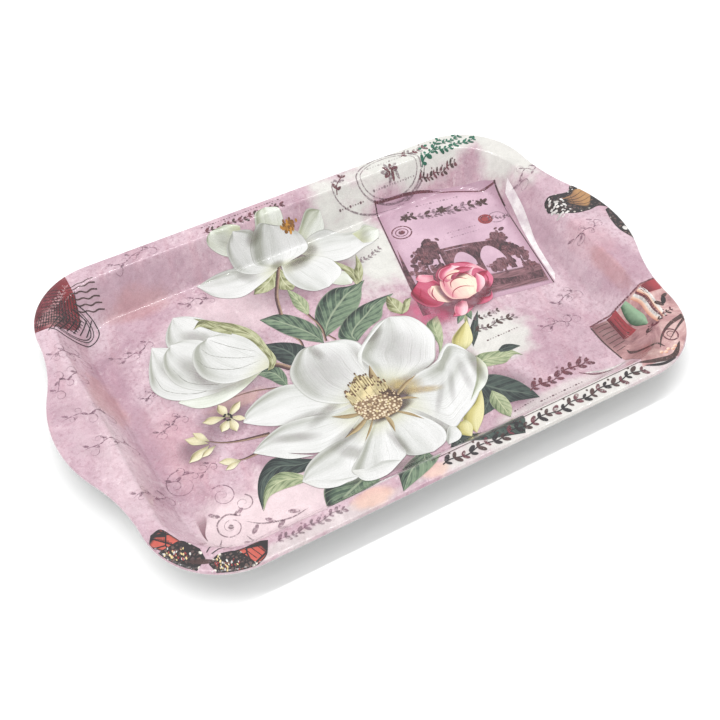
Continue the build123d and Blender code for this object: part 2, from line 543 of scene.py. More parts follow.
def patch_group():
    """Mask of a soft-edged, ragged patch round a centre."""
    group, given, result = new_group(
        "soft_patch",
        [("Vector", "Vector"), ("Centre", "Vector"), ("Reach", "Vector"), ("Ragged", "Float")],
        [("Mask", "Float")],
    )
    way = put(group, "VectorMath", {0: given.outputs[0], 1: given.outputs[1]}, operation="SUBTRACT")
    unit = put(group, "VectorMath", {0: way.outputs[0], 1: given.outputs[2]}, operation="DIVIDE")
    far = put(group, "VectorMath", {0: unit.outputs[0]}, operation="LENGTH").outputs["Value"]
    rag = calc(group, "SUBTRACT", grain(group, given.outputs[0], 48, 5.0, 0.6), 0.5)
    far = times(group, rag, given.outputs[3], far)
    group.links.new(step(group, far, 1.25, 0.55), result.inputs["Mask"])
    return group


VARNISH = varnish_group()
PATCH = patch_group()


def patch(tree, at, x, y, reach_x, reach_y, ragged=1.6):
    """Mask of one soft patch, placed in millimetres."""
    made = put(tree, "Group", {}, node_tree=PATCH)
    tree.links.new(at, made.inputs["Vector"])
    made.inputs["Centre"].default_value = (x * MM, y * MM, 0.0)
    made.inputs["Reach"].default_value = (reach_x * MM, reach_y * MM, 1.0)
    made.inputs["Ragged"].default_value = ragged
    return made.outputs[0]


def ink(name, paint):
    """Printed material: paint(tree, place, u, v) gives its colour and maybe its alpha."""
    material, tree, shader = principled(name, (0.8, 0.8, 0.8), 0.25)
    coordinates = put(tree, "TexCoord", {})
    at = coordinates.outputs["Object"]
    split = put(tree, "SeparateXYZ", {0: coordinates.outputs["UV"]})
    result = paint(tree, at, split.outputs[0], split.outputs[1])
    color, alpha = result if isinstance(result, tuple) else (result, None)
    over = put(tree, "Group", {}, node_tree=VARNISH)
    tree.links.new(color, over.inputs["Color"])
    tree.links.new(at, over.inputs["Vector"])
    bump = put(tree, "Bump", {"Strength": 0.10, "Distance": 0.0003})
    tree.links.new(over.outputs["Height"], bump.inputs["Height"])
    tree.links.new(over.outputs["Color"], shader.inputs["Base Color"])
    tree.links.new(over.outputs["Roughness"], shader.inputs["Roughness"])
    tree.links.new(bump.outputs[0], shader.inputs["Normal"])
    shader.inputs["Specular IOR Level"].default_value = 0.5
    shader.inputs["Coat Weight"].default_value = 0.5
    shader.inputs["Coat Roughness"].default_value = 0.07
    if alpha is not None:
        tree.links.new(alpha, shader.inputs["Alpha"])
    return material


print("groups:", [g.name for g in bpy.data.node_groups])

# %% [markdown]
# ## The printed ground
# Before any flower goes on, the sheet carries an aged paper ground: dusty pink clouded with
# mauve, left cream in places, and stained with rust and peach. Large clouds, brushy streaks and
# fine grain are three sizes of noise; each pale, stained or shaded area is one soft patch. The
# two darker patches along the far wall and at the foot of the left wall are painted shade.

# %% Ground colours
PINK, MAUVE, ROSE = tint(215, 189, 199), tint(180, 147, 161), tint(196, 150, 161)
CREAM, BLUSH, RUST = tint(219, 218, 212), tint(234, 214, 217), tint(196, 140, 132)
PEACH, PLUM = tint(232, 190, 170), tint(172, 130, 148)
GRIME, HAZE = tint(160, 116, 130), tint(240, 224, 228)


def paint_ground(tree, at, u, v):
    """Aged pink paper with its pale patches and stains, and two patches of painted shade by the
    walls.
    """
    clouds = grain(tree, at, 19, 8.0, 0.68, 0.6)
    color = shades(tree, clouds, (0.34, MAUVE), (0.46, tint(201, 170, 182)), (0.58, PINK))
    brushed = grain(tree, stretched(tree, at, 90, 14, 0.15), 1.0, 4.0, 0.6)
    color = wash(tree, color, ROSE, step(tree, brushed, 0.46, 0.72), 0.45)
    blots = grain(tree, at, 85, 5.0, 0.7, 0.8)
    color = wash(tree, color, BLUSH, step(tree, blots, 0.55, 0.8), 0.7)
    fine = grain(tree, at, 380, 5.0, 0.75)
    color = wash(tree, color, GRIME, step(tree, fine, 0.47, 0.66), 0.5)
    scuffs = grain(tree, stretched(tree, at, 260, 120, 0.7), 1.0, 6.0, 0.75)
    color = wash(tree, color, HAZE, step(tree, scuffs, 0.54, 0.7), 0.5)
    areas = [
        # painted shade: a darker plum band along the foot of the left wall
        (PLUM, 0.55, (-146, 15, 9, 60)),
        # painted shade: mauve darkening along the far wall
        (MAUVE, 0.6, (-110, 104, 60, 8)),
        (PLUM, 0.45, (-112, 84, 22, 16)),
        (PLUM, 0.55, (170, -42, 16, 22)),
        (PLUM, 0.4, (112, -58, 34, 30)),
        (PLUM, 0.35, (160, 40, 22, 30)),
        (ROSE, 0.5, (-130, -20, 16, 40)),
        (MAUVE, 0.5, (150, 10, 9, 60)),
        (BLUSH, 0.25, (-170, -10, 16, 60)),
        (PLUM, 0.3, (-182, 14, 14, 60)),
        (ROSE, 0.55, (169, -12, 11, 20)),
        (BLUSH, 0.5, (-60, 60, 40, 25)),
        (BLUSH, 0.9, (-104, -84, 46, 24)),
        (RUST, 0.45, (-156, 26, 9, 24)),
        (RUST, 0.35, (-108, 96, 26, 9)),
        (RUST, 0.35, (163, -38, 4, 22)),
        (CREAM, 1.0, (46, 78, 25, 52)),
        (CREAM, 1.0, (112, 118, 66, 16)),
        (CREAM, 0.95, (168, 92, 17, 34)),
        (CREAM, 0.95, (74, -36, 28, 22)),
        (CREAM, 0.9, (66, -120, 86, 10)),
        (CREAM, 0.6, (84, -98, 44, 8)),
        (CREAM, 0.5, (-90, -122, 60, 5)),
        (PEACH, 0.7, (-58, -119, 13, 6)),
        (PEACH, 0.6, (-22, -120, 8, 5)),
        (PEACH, 0.5, (-86, -4, 18, 6)),
    ]
    for shade, strength, place in areas:
        color = wash(tree, color, shade, patch(tree, at, *place), strength)
    return mix(tree, 0.35, color, mix(tree, 1.0, color, shades(
        tree, blots, (0.35, tint(214, 214, 214)), (0.6, tint(255, 255, 255))), "MULTIPLY"))


ground_ink = ink("aged_pink_ground", paint_ground)
print_ground.data.materials.append(ground_ink)
print("ground has", len(ground_ink.node_tree.nodes), "nodes")

# %% [markdown]
# ## Tin, white coat and wire
# Underneath, the tinplate shows its spangled grain under a thin clear lacquer, with the long
# scratches that trays get from being stacked. The white coat shows only on the outside of the
# roll. The wire in the roll is plain drawn steel.

# %% Metal and enamel materials


def paint_tin(tree, shader):
    """Tinplate: rolled streaks, faint crystals, scratches and handling marks."""
    at = put(tree, "TexCoord", {}).outputs["Object"]
    crystals = put(tree, "TexVoronoi", {"Vector": at, "Scale": 120.0}).outputs["Color"]
    value = put(tree, "SeparateColor", {0: crystals}).outputs[0]
    rolled = grain(tree, stretched(tree, at, 3, 420), 1.0, 5.0)
    marks = grain(tree, stretched(tree, at, 25, 900, 0.5), 1.0, 2.0)
    scratch = step(tree, marks, 0.70, 0.76)
    base = shades(tree, rolled, (0.3, tint(190, 191, 192)), (0.7, tint(206, 207, 206)))
    base = wash(tree, base, tint(226, 224, 216), value, 0.25)
    smears = step(tree, grain(tree, at, 12, 5.0, 0.6), 0.5, 0.7)
    base = wash(tree, base, tint(160, 152, 138), smears, 0.3)
    tree.links.new(base, shader.inputs["Base Color"])
    rough = times(tree, smears, 0.12, times(tree, rolled, 0.08, 0.26))
    rough = times(tree, scratch, 0.15, rough)
    tree.links.new(rough, shader.inputs["Roughness"])
    height = calc(tree, "SUBTRACT", times(tree, rolled, 0.3), scratch)
    bump = put(tree, "Bump", {"Height": height, "Strength": 0.05, "Distance": 0.0002})
    tree.links.new(bump.outputs[0], shader.inputs["Normal"])


tin_ink, tin_tree, tin_shader = principled(
    "lacquered_tinplate", (0.7, 0.7, 0.7), 0.3, Metallic=0.95
)
paint_tin(tin_tree, tin_shader)
tin_sheet.data.materials.append(tin_ink)


def paint_enamel(tree, at, u, v):
    """White baked coat, a little yellowed and speckled."""
    cloud = grain(tree, at, 60, 5.0, 0.6)
    color = shades(tree, cloud, (0.35, tint(226, 224, 218)), (0.65, tint(244, 244, 241)))
    chips = step(tree, grain(tree, at, 700, 3.0), 0.74, 0.8)
    return mix(tree, chips, color, tint(170, 168, 164))


white_coat.data.materials.append(ink("white_enamel", paint_enamel))


def paint_wire(tree, shader):
    """Drawn steel wire: dark grease and fine drawing lines."""
    at = put(tree, "TexCoord", {}).outputs["Object"]
    film = grain(tree, at, 180, 6.0, 0.65)
    color = shades(tree, film, (0.35, tint(96, 92, 88)), (0.65, tint(168, 166, 162)))
    tree.links.new(color, shader.inputs["Base Color"])
    tree.links.new(times(tree, film, 0.4, 0.15), shader.inputs["Roughness"])
    bump = put(tree, "Bump", {"Height": grain(tree, at, 1200), "Strength": 0.2, "Distance": 0.0002})
    tree.links.new(bump.outputs[0], shader.inputs["Normal"])


wire_ink, wire_tree, wire_shader = principled("drawn_steel", (0.6, 0.6, 0.6), 0.4, Metallic=1.0)
paint_wire(wire_tree, wire_shader)
rim_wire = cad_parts["rim_wire"]
rim_wire.material_slots[0].material = wire_ink
print("wire uses", rim_wire.material_slots[0].material.name)

# %% [markdown]
# ## How a shape of ink is laid on the tray
# A petal, a leaf or a stroke is a patch between two edges that run from its base to its tip. The
# patch is a grid dropped on the pressed surface, so it follows the bends of the metal as a print
# does. Its own coordinates run along it and across it, which lets the material paint veins and
# rims. Each layer of ink lies a few hundredths of a millimetre above the one before.

# %% Helpers for ink shapes
INK_FACE = 0.13
INK_LAYER = 0.02
LIGHT = np.array([-0.45, 0.45, 0.77])
CUPPING = 0.62
EDGE_GAP = 0.3
INK_STEP = 0.0015
INK_CYCLE = 13
SPAN_STEPS = 12
ROUGH_COUNT = 60
RIPPLE_WAVES, RIPPLE_DRIFT, RIPPLE_SIZE = 17, 3, 0.06
laid = []


def curve(points, count):
    """Evenly spread points on a smooth curve through a few given ones."""
    p = np.array(points, float)
    if len(p) == 2:
        p = np.vstack([p[0], p.mean(0), p[1]])
    ghost = np.vstack([2 * p[0] - p[1], p, 2 * p[-1] - p[-2]])
    t = np.linspace(0, len(p) - 1, SPAN_STEPS * (len(p) - 1) + 1)
    k = np.minimum(t.astype(int), len(p) - 2)
    f = (t - k)[:, None]
    a, b, c, d = (ghost[k + n] for n in range(4))
    path = 2 * b + (c - a) * f + (2 * a - 5 * b + 4 * c - d) * f**2
    path = 0.5 * (path + (3 * b - a - 3 * c + d) * f**3)
    length = np.r_[0, np.cumsum(np.linalg.norm(np.diff(path, axis=0), axis=1))]
    at = np.linspace(0, length[-1], count)
    return np.column_stack([np.interp(at, length, path[:, n]) for n in (0, 1)])


def stretch(first, second, gap=1.6):
    """Plan grid between two edges: columns run along them and rows across."""
    a, b = curve(first, ROUGH_COUNT), curve(second, ROUGH_COUNT)
    reach = max(np.linalg.norm(np.diff(e, axis=0), axis=1).sum() for e in (a, b))
    columns = max(4, int(math.ceil(reach / gap)))
    rows = max(2, int(math.ceil(np.linalg.norm(a - b, axis=1).max() / gap)))
    a, b = curve(first, columns + 1), curve(second, columns + 1)
    across = np.linspace(0, 1, rows + 1)[:, None, None]
    return a * (1 - across) + b * across


def cupped(plan, depth, ripple=0.0):
    """Light and shade of a petal that is hollow across, given as 0 to 1 on its grid."""
    rows, columns = plan.shape[:2]
    v, u = np.meshgrid(np.linspace(0, 1, rows), np.linspace(0, 1, columns), indexing="ij")
    wide = np.linalg.norm(plan[-1] - plan[0], axis=1)[None, :]
    height = depth * wide * (2 * v - 1) ** 2 * (0.35 + 0.65 * u)
    waves = np.sin(v * RIPPLE_WAVES + u * RIPPLE_DRIFT)
    height = height + ripple * wide * waves * (0.25 + u) * RIPPLE_SIZE
    height = height * CUPPING
    steps = [np.gradient(plan, axis=n) for n in (1, 0)]
    rises = [np.gradient(height, axis=n)[..., None] for n in (1, 0)]
    along, over = (np.concatenate(pair, -1) for pair in zip(steps, rises))
    normal = np.cross(along, over)
    normal /= np.linalg.norm(normal, axis=-1, keepdims=True) + 1e-9
    normal *= np.where(normal[..., 2:] < 0, -1, 1)
    return np.clip((normal @ LIGHT - 0.25) / 0.75, 0, 1)


def lay(plan, material, layer, shade=None):
    """Drop a plan grid on the tray as one layer of ink."""
    rows, columns = plan.shape[0] - 1, plan.shape[1] - 1
    piece, i, j = flat_grid(columns, rows)
    points = plan[j, i]
    away, out = edge_distance(points[:, 0], points[:, 1])
    points = points - out * np.maximum(away + EDGE_GAP, 0)[:, None]
    lift = INK_FACE + INK_LAYER * layer + INK_STEP * (len(laid) % INK_CYCLE)
    laid.append(layer)
    z = face_height(points[:, 0], points[:, 1], lift)
    place_vertices(piece, np.column_stack([points, z]))
    values = np.full(len(z), 0.5) if shade is None else shade[j, i]
    attribute = piece.data.attributes.new("shade", "FLOAT", "POINT")
    attribute.data.foreach_set("value", values.astype(np.float32))
    piece.data.materials.append(material)
    turn_up(piece)
    return piece


def turn_up(piece):
    """Make a patch face upwards, whichever way round its edges were given."""
    if sum(p.normal.z * p.area for p in piece.data.polygons) < 0:
        piece.data.flip_normals()


def petal(first, second, material, layer, depth=0.35, ripple=0.3, gap=1.6):
    """One petal or leaf between its two edges, both given from base to tip."""
    plan = stretch(first, second, gap)
    return lay(plan, material, layer, cupped(plan, depth, ripple))


def spear(root, tip, wide, foot=0.0, waist=0.6, bow=0.0):
    """Two edges of a slim bud or bract: its foot, the widest place at its waist, and its tip."""
    a, b = np.array(root, float), np.array(tip, float)
    side = np.array([a[1] - b[1], b[0] - a[0]]) / np.linalg.norm(b - a) * wide / 2
    return [
        [a + side * foot * hand, a + (b - a) * waist + side * hand + side * bow, b]
        for hand in (1, -1)
    ]


def widths(count, shape):
    """How wide a stroke is along its way, from 0 to 1."""
    u = np.linspace(0, 1, count)
    if shape == "even":
        return np.ones(count)
    if shape == "taper":
        return 1 - 0.85 * u
    return np.clip(np.sin(math.pi * u), 0, 1) ** 0.6 * 0.9 + 0.1


def stroke(points, width, material, layer, shape="even", gap=1.2):
    """Stem, line or pen stroke along a curve."""
    middle = curve(points, ROUGH_COUNT)
    reach = np.linalg.norm(np.diff(middle, axis=0), axis=1).sum()
    count = max(4, int(math.ceil(reach / gap))) + 1
    middle = curve(points, count)
    way = np.gradient(middle, axis=0)
    way /= np.linalg.norm(way, axis=1, keepdims=True) + 1e-9
    side = np.column_stack([-way[:, 1], way[:, 0]]) * (width / 2 * widths(count, shape))[:, None]
    across = np.linspace(-1, 1, 3 if width < 2.5 else 5)[:, None, None]
    return lay(middle + side * across, material, layer)


def oval(x, y, reach_x, reach_y, material, layer, turn=0.0, gap=1.5):
    """Filled ellipse, as a grid bent into a disc."""
    count = max(3, int(math.ceil(max(reach_x, reach_y) * 2 / gap)))
    s, t = np.meshgrid(np.linspace(-1, 1, count + 1), np.linspace(-1, 1, count + 1))
    dx = s * np.sqrt(1 - t**2 / 2) * reach_x
    dy = t * np.sqrt(1 - s**2 / 2) * reach_y
    c, n = math.cos(turn), math.sin(turn)
    return lay(np.dstack([x + dx * c - dy * n, y + dx * n + dy * c]), material, layer)


def ring(x, y, reach_x, reach_y, width, material, layer, start=0.0, stop=360.0):
    """Part or the whole of an elliptical line."""
    angles = np.radians(np.linspace(start, stop, max(5, int(abs(stop - start) / 12)) + 1))
    points = [(x + reach_x * math.cos(a), y + reach_y * math.sin(a)) for a in angles]
    return stroke(points, width, material, layer)


def gather(name, parts):
    """Join the shapes of one motif into one piece that rides on the tray."""
    deselect()
    for part in parts:
        part.select_set(True)
    bpy.context.view_layer.objects.active = parts[0]
    if len(parts) > 1:
        bpy.ops.object.join()
    piece = bpy.context.view_layer.objects.active
    piece.name = name
    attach(piece, "root")
    print(name, len(parts), "shapes,", len(piece.data.polygons), "faces")
    return piece


# %% [markdown]
# ## Inks
# Each ink is one material. The petals are near white with a cool grey shadow, fine streaks that
# run from base to tip, a warm base and a thin bright rim; the leaves are blue-green with pale
# veins. The line inks are thin and a little starved, as old stamp ink is.

# %% Inks for flowers and leaves


def shade_of(tree):
    """Light and shade that was worked out for the shape."""
    return put(tree, "Attribute", {}, attribute_name="shade").outputs["Fac"]


def across_rim(tree, v, width):
    """1 in the middle of a shape, falling to 0 at its two edges."""
    return times(tree, step(tree, v, 0.0, width), step(tree, v, 1.0, 1.0 - width))


def streaks_along(tree, u, v, fine, coarse):
    """Streaks that run from the base of a shape to its tip."""
    place = put(tree, "CombineXYZ", {0: times(tree, u, coarse), 1: times(tree, v, fine)}).outputs[0]
    return grain(tree, place, 1.0, 4.0, 0.6, 0.3)


def petal_ink(name, dark, middle, pale, base, base_reach=0.32):
    """Petal: shaded, streaked, with a warm base and a bright rim with a thin grey outline."""

    def paint(tree, at, u, v):
        shade = shade_of(tree)
        streak = streaks_along(tree, u, v, 34, 2.5)
        value = times(tree, calc(tree, "SUBTRACT", streak, 0.5), 0.35, shade)
        cloud = calc(tree, "SUBTRACT", grain(tree, at, 55, 4.0), 0.5)
        value = times(tree, cloud, 0.35, value)
        color = shades(tree, value, (0.15, dark), (0.5, middle), (0.88, pale))
        hair = streaks_along(tree, u, v, 120, 1.5)
        color = wash(tree, color, dark, step(tree, hair, 0.5, 0.68), 0.5)
        warm = times(tree, step(tree, u, base_reach, 0.0), times(tree, streak, 1.1, 0.1))
        color = mix(tree, times(tree, warm, 0.9, clamp=True), color, base)
        inner = across_rim(tree, v, 0.10)
        tip = step(tree, u, 1.0, 0.93)
        rim = calc(tree, "SUBTRACT", 1.0, times(tree, inner, tip))
        color = wash(tree, color, pale, rim, 0.55)
        line = times(tree, across_rim(tree, v, 0.022), step(tree, u, 1.0, 0.985))
        line = calc(tree, "SUBTRACT", 1.0, line)
        return wash(tree, color, dark, line, 0.7)

    return ink(name, paint)


def leaf_ink(name, dark, middle, pale, vein, veins=7.0):
    """Leaf: a pale midrib and slanting side veins, darker between them."""

    def paint(tree, at, u, v):
        aside = calc(tree, "ABSOLUTE", calc(tree, "SUBTRACT", v, 0.5))
        slant = times(tree, aside, -0.55, u)
        slant = times(tree, grain(tree, at, 90, 2.0), 0.05, slant)
        wave = calc(tree, "FRACT", times(tree, slant, veins))
        line = step(tree, calc(tree, "ABSOLUTE", calc(tree, "SUBTRACT", wave, 0.5)), 0.09, 0.01)
        between = times(tree, wave, 0.35, shade_of(tree))
        mottle = times(tree, calc(tree, "SUBTRACT", grain(tree, at, 160, 5.0), 0.5), 1.1)
        half = times(tree, step(tree, v, 0.47, 0.53), 0.16)
        value = calc(tree, "SUBTRACT", calc(tree, "ADD", between, mottle), half)
        color = shades(tree, value, (0.25, dark), (0.62, middle), (1.0, pale))
        color = wash(tree, color, vein, line, 0.4)
        rib = step(tree, aside, 0.045, 0.012)
        color = wash(tree, color, vein, rib, 0.8)
        edge = calc(tree, "SUBTRACT", 1.0, across_rim(tree, v, 0.05))
        return wash(tree, color, vein, edge, 0.45)

    return ink(name, paint)


clean_petal = petal_ink(
    "clean_petal", tint(160, 162, 152), tint(207, 208, 205), tint(228, 228, 227),
    tint(190, 190, 148), 0.34,
)
green_petal = petal_ink(
    "greenish_petal", tint(136, 142, 116), tint(196, 200, 184), tint(230, 233, 226),
    tint(176, 178, 120), 0.5,
)
dark_leaf = leaf_ink(
    "dark_leaf", tint(28, 40, 36), tint(66, 86, 71), tint(118, 138, 112), tint(156, 168, 142)
)
deep_leaf = leaf_ink(
    "deep_leaf", tint(18, 24, 28), tint(34, 43, 44), tint(66, 80, 74), tint(96, 108, 98), 6.0
)
pale_leaf = leaf_ink(
    "pale_leaf", tint(78, 92, 64), tint(128, 142, 106), tint(176, 184, 148), tint(194, 198, 160),
    6.0
)
olive_leaf = leaf_ink(
    "olive_leaf", tint(80, 80, 48), tint(128, 130, 88), tint(184, 186, 148), tint(206, 206, 172),
    3.0
)
yellow_bud = petal_ink(
    "yellow_bud", tint(132, 124, 62), tint(196, 186, 116), tint(226, 220, 168), tint(128, 130, 70),
    0.35
)
cream_bud = petal_ink(
    "cream_bud", tint(110, 98, 62), tint(206, 196, 154), tint(234, 228, 200), tint(104, 98, 56), 0.5
)
bract = petal_ink(
    "brown_bract", tint(82, 62, 40), tint(140, 118, 82), tint(188, 168, 128), tint(70, 52, 36), 0.3
)


def soft(name, color, strength, power=1.0):
    """Shadow or blush that fades out to all sides of its shape."""

    def paint(tree, at, u, v):
        mask = times(tree, across_rim(tree, v, 0.42), across_rim(tree, u, 0.42))
        mask = calc(tree, "POWER", mask, power)
        speck = times(tree, grain(tree, at, 260, 4.0), 0.5, 0.75)
        alpha = times(tree, times(tree, mask, speck), strength, clamp=True)
        return shades(tree, grain(tree, at, 130), (0.3, color), (0.9, tint(150, 130, 140))), alpha

    return ink(name, paint)


def line_ink(name, color, strength=0.85, hole=0.42):
    """Thin line ink that is starved here and there."""

    def paint(tree, at, u, v):
        worn = grain(tree, at, 640, 4.0, 0.65)
        alpha = times(tree, step(tree, worn, hole - 0.12, hole + 0.1), strength)
        deeper = tuple(c * 0.6 for c in color[:3]) + (1.0,)
        return shades(tree, grain(tree, at, 200), (0.35, deeper), (0.6, color)), alpha

    return ink(name, paint)


soft_shadow = soft("soft_shadow", tint(120, 88, 102), 0.5)
petal_shadow = soft("petal_shadow", tint(134, 136, 118), 0.32)
fold_shadow = soft("fold_shadow", tint(140, 140, 132), 0.2)
green_shadow = soft("green_shadow", tint(106, 112, 74), 0.42)
deep_shadow = soft("deep_shadow", tint(60, 44, 40), 0.9)
warm_glow = soft("warm_glow", tint(214, 186, 110), 0.48)
pink_glow = soft("pink_glow", tint(206, 92, 128), 0.95)
maroon_line = line_ink("maroon_line", tint(118, 62, 72), 0.85)
vein_line = line_ink("vein_line", tint(160, 160, 150), 0.6, 0.42)
rose_line = line_ink("rose_line", tint(176, 44, 78), 0.9, 0.3)
bead_line = line_ink("bead_line", tint(112, 74, 84), 0.75, 0.4)
brown_line = line_ink("brown_line", tint(84, 60, 58), 0.9, 0.36)
faint_line = line_ink("faint_line", tint(140, 100, 120), 0.55, 0.46)
grey_line = line_ink("grey_line", tint(134, 106, 118), 0.55, 0.44)
green_line = line_ink("green_line", tint(30, 106, 82), 0.97, 0.25)
black_line = line_ink("black_line", tint(44, 38, 42), 0.92, 0.34)
white_line = line_ink("white_line", tint(240, 236, 232), 0.9, 0.36)
print(len(bpy.data.materials), "materials so far")

# %% [markdown]
# ## Shadows under the flowers
# The printer's artist painted each bloom with a soft shadow on the paper under it. These come
# first, in the lowest layers.

# %% Soft shadows on the paper
shadows = [
    oval(-22, -46, 84, 62, soft_shadow, 0, 0.05, 4),
    oval(-86, 28, 50, 48, soft_shadow, 0, -0.2, 4),
    oval(0, 74, 60, 34, soft_shadow, 1, 0.1, 3),
    oval(-98, -14, 24, 17, soft_shadow, 1, 0, 3),
    oval(58, -76, 26, 22, soft_shadow, 1, -0.5, 3),
    oval(-122, -26, 18, 14, soft_shadow, 1, 0, 3),
    oval(48, 2, 24, 20, pink_glow, 2, 0.2, 3),
]
gather("flower_shadows", shadows)

# %% [markdown]
# ## Old postcard
# Behind the flowers lies a mauve postcard with a small view on it. The view here is a plain
# country scene, an arched stone bridge between trees, in the dark plum ink of the print. The
# card is one patch between its top and bottom edges, so places on it can be given as parts of
# its width and height.

# %% Postcard
CARD_TOP = [(71, 103), (100, 101), (130, 96), (147, 88), (155, 79)]
CARD_FOOT = [(47, 0), (70, -5), (95, -9), (116, -13), (138, -17)]


def paint_card(tree, at, u, v):
    """Mauve card, darker and browner towards its edges, with foxing."""
    cloud = grain(tree, at, 26, 6.0, 0.62, 0.5)
    color = shades(tree, cloud, (0.32, tint(184, 150, 168)), (0.62, tint(212, 180, 196)))
    edge = across_rim(tree, v, 0.10)
    edge = times(tree, edge, across_rim(tree, u, 0.10))
    color = mix(tree, times(tree, edge, -0.55, 0.55), color, tint(160, 118, 138))
    fox = step(tree, grain(tree, at, 240, 5.0, 0.7), 0.58, 0.72)
    return wash(tree, color, tint(150, 104, 120), fox, 0.4)


def paint_scene(tree, at, u, v):
    """Dark plum ink of the view: brushy, with lighter scratches."""
    brush = grain(tree, stretched(tree, at, 900, 260, 0.2), 1.0, 5.0, 0.65)
    cloud = grain(tree, at, 90, 5.0, 0.6)
    value = times(tree, brush, 0.6, times(tree, cloud, 0.5))
    return shades(
        tree, value, (0.42, tint(46, 30, 36)), (0.54, tint(88, 54, 62)), (0.70, tint(146, 102, 110))
    )


def paint_water(tree, at, u, v):
    """River in the view: brown-plum with lighter ripples."""
    ripple = grain(tree, stretched(tree, at, 90, 700, 0.1), 1.0, 4.0, 0.6)
    color = shades(tree, ripple, (0.35, tint(96, 62, 68)), (0.7, tint(156, 112, 120)))
    return color, across_rim(tree, v, 0.16)


card_ink = ink("card_mauve", paint_card)
scene_ink = ink("view_plum", paint_scene)
scene_mid = line_ink("view_light", tint(140, 94, 100), 0.85, 0.46)
water_ink = ink("view_river", paint_water)
card_plan = stretch(CARD_FOOT, CARD_TOP, 1.1)


def on_card(across, up):
    """Place on the postcard from parts of its width and height."""
    rows, columns = card_plan.shape[0] - 1, card_plan.shape[1] - 1
    i = min(max(across, 0), 1) * columns
    j = min(max(up, 0), 1) * rows
    i0, j0 = min(int(i), columns - 1), min(int(j), rows - 1)
    a = card_plan[j0, i0] * (1 - i + i0) + card_plan[j0, i0 + 1] * (i - i0)
    b = card_plan[j0 + 1, i0] * (1 - i + i0) + card_plan[j0 + 1, i0 + 1] * (i - i0)
    return tuple(a * (1 - j + j0) + b * (j - j0))


def card_shape(first, second, material, layer, gap=1.2):
    """Patch on the card between two edges given in its own coordinates."""
    a, b = [on_card(*p) for p in first], [on_card(*p) for p in second]
    return lay(stretch(a, b, gap), material, layer)


def card_stroke(points, width, material, layer, shape="even"):
    """Line on the card given in its own coordinates."""
    return stroke([on_card(*p) for p in points], width, material, layer, shape)


strip = stretch([(139, -16), (144, 14), (151, 44), (155, 66)], [
    (143, -10), (149, 18), (156, 46), (160, 72)], 1.1)


def paint_card_edge(tree, at, u, v):
    """Light deckle edge of a second card behind the first."""
    cloud = grain(tree, at, 120, 5.0, 0.6)
    return shades(tree, cloud, (0.35, tint(214, 200, 206)), (0.6, tint(240, 234, 234)))


card = [lay(strip, ink("card_edge", paint_card_edge), 1), lay(card_plan, card_ink, 3)]
border = [(0.008, 0.0), (0.008, 0.5), (0.008, 1.0)]
card.append(card_stroke(border, 0.9, brown_line, 4))
card.append(card_stroke([(0.0, 0.99), (0.5, 0.99), (1.0, 0.99)], 1.3, maroon_line, 4))
card.append(card_stroke([(0.992, 0.0), (0.992, 0.5), (0.992, 1.0)], 0.8, brown_line, 4))
card.append(card_shape([(0.0, 0.0), (0.0, 0.3)], [(0.06, 0.0), (0.035, 0.6)], scene_ink, 4))
card.append(card_shape([(0.1, 0.02), (0.5, 0.03), (0.97, 0.02)], [
    (0.1, 0.17), (0.5, 0.2), (0.98, 0.21)], water_ink, 4))
card.append(card_shape([(0.42, 0.13), (0.7, 0.08), (0.95, 0.07)], [
    (0.45, 0.20), (0.7, 0.13), (0.97, 0.14)], scene_ink, 5))
gather("old_postcard", card)

# %% [markdown]
# ### The view on the card
# Two arches and their piers are cut from one idea: a patch between the springing line and the
# deck, whose lower edge is bowed up. The trees are heaps of small ragged ovals.

# %% View on the postcard
draw = np.random.default_rng(11)
view = []
for start, stop in ((0.36, 0.57), (0.57, 0.78)):
    t = np.linspace(0, 1, 9)
    lower = [(start + (stop - start) * k, 0.26 + 0.17 * math.sin(math.pi * k) ** 0.6) for k in t]
    upper = [(start + (stop - start) * k, 0.49 - 0.05 * (start + (stop - start) * k)) for k in t]
    view.append(card_shape(lower, upper, scene_ink, 6, 0.9))
for pier in (0.34, 0.57, 0.79):
    view.append(card_shape([(pier - 0.022, 0.2), (pier - 0.018, 0.48)], [
        (pier + 0.022, 0.2), (pier + 0.018, 0.48)], scene_ink, 7))
view.append(card_stroke([(0.3, 0.49), (0.55, 0.475), (0.84, 0.455)], 2.2, scene_ink, 8))


def tree_heap(across, up, wide, tall, count):
    """Crown of a tree as a heap of ragged ovals over a trunk."""
    heap = [card_stroke([(across, up - tall), (across, up)], 2.0, scene_ink, 7, "taper")]
    for n in range(count * 3):
        dx, dy = np.clip(draw.normal(0, 0.42, 2), -0.9, 0.9)
        x, y = on_card(across + dx * wide, up + dy * tall * 0.62)
        size = draw.uniform(1.2, 3.0) if n > count else draw.uniform(2.4, 4.4)
        shade = scene_mid if n % 3 == 2 else scene_ink
        heap.append(oval(x, y, size, size * 0.6, shade, 7 + 0.4 * (n % 5), draw.uniform(0, 3)))
    return heap


for across, up, wide, tall, count in (
    (0.19, 0.46, 0.11, 0.2, 16), (0.29, 0.52, 0.07, 0.2, 12), (0.25, 0.3, 0.12, 0.12, 12),
    (0.8, 0.47, 0.08, 0.18, 13), (0.87, 0.33, 0.08, 0.14, 12), (0.72, 0.25, 0.1, 0.08, 9),
    (0.5, 0.24, 0.08, 0.06, 6), (0.9, 0.2, 0.05, 0.06, 6), (0.1, 0.3, 0.05, 0.16, 8),
):
    view += tree_heap(across, up, wide, tall, count)
gather("postcard_view", view)

# %% [markdown]
# ### Ornament on the card
# A long swag of leaves stands where such a card has its heading, with an oval emblem and a
# round wax-red seal. All are built from small ovals, rings and thin strokes.

# %% Postcard ornament


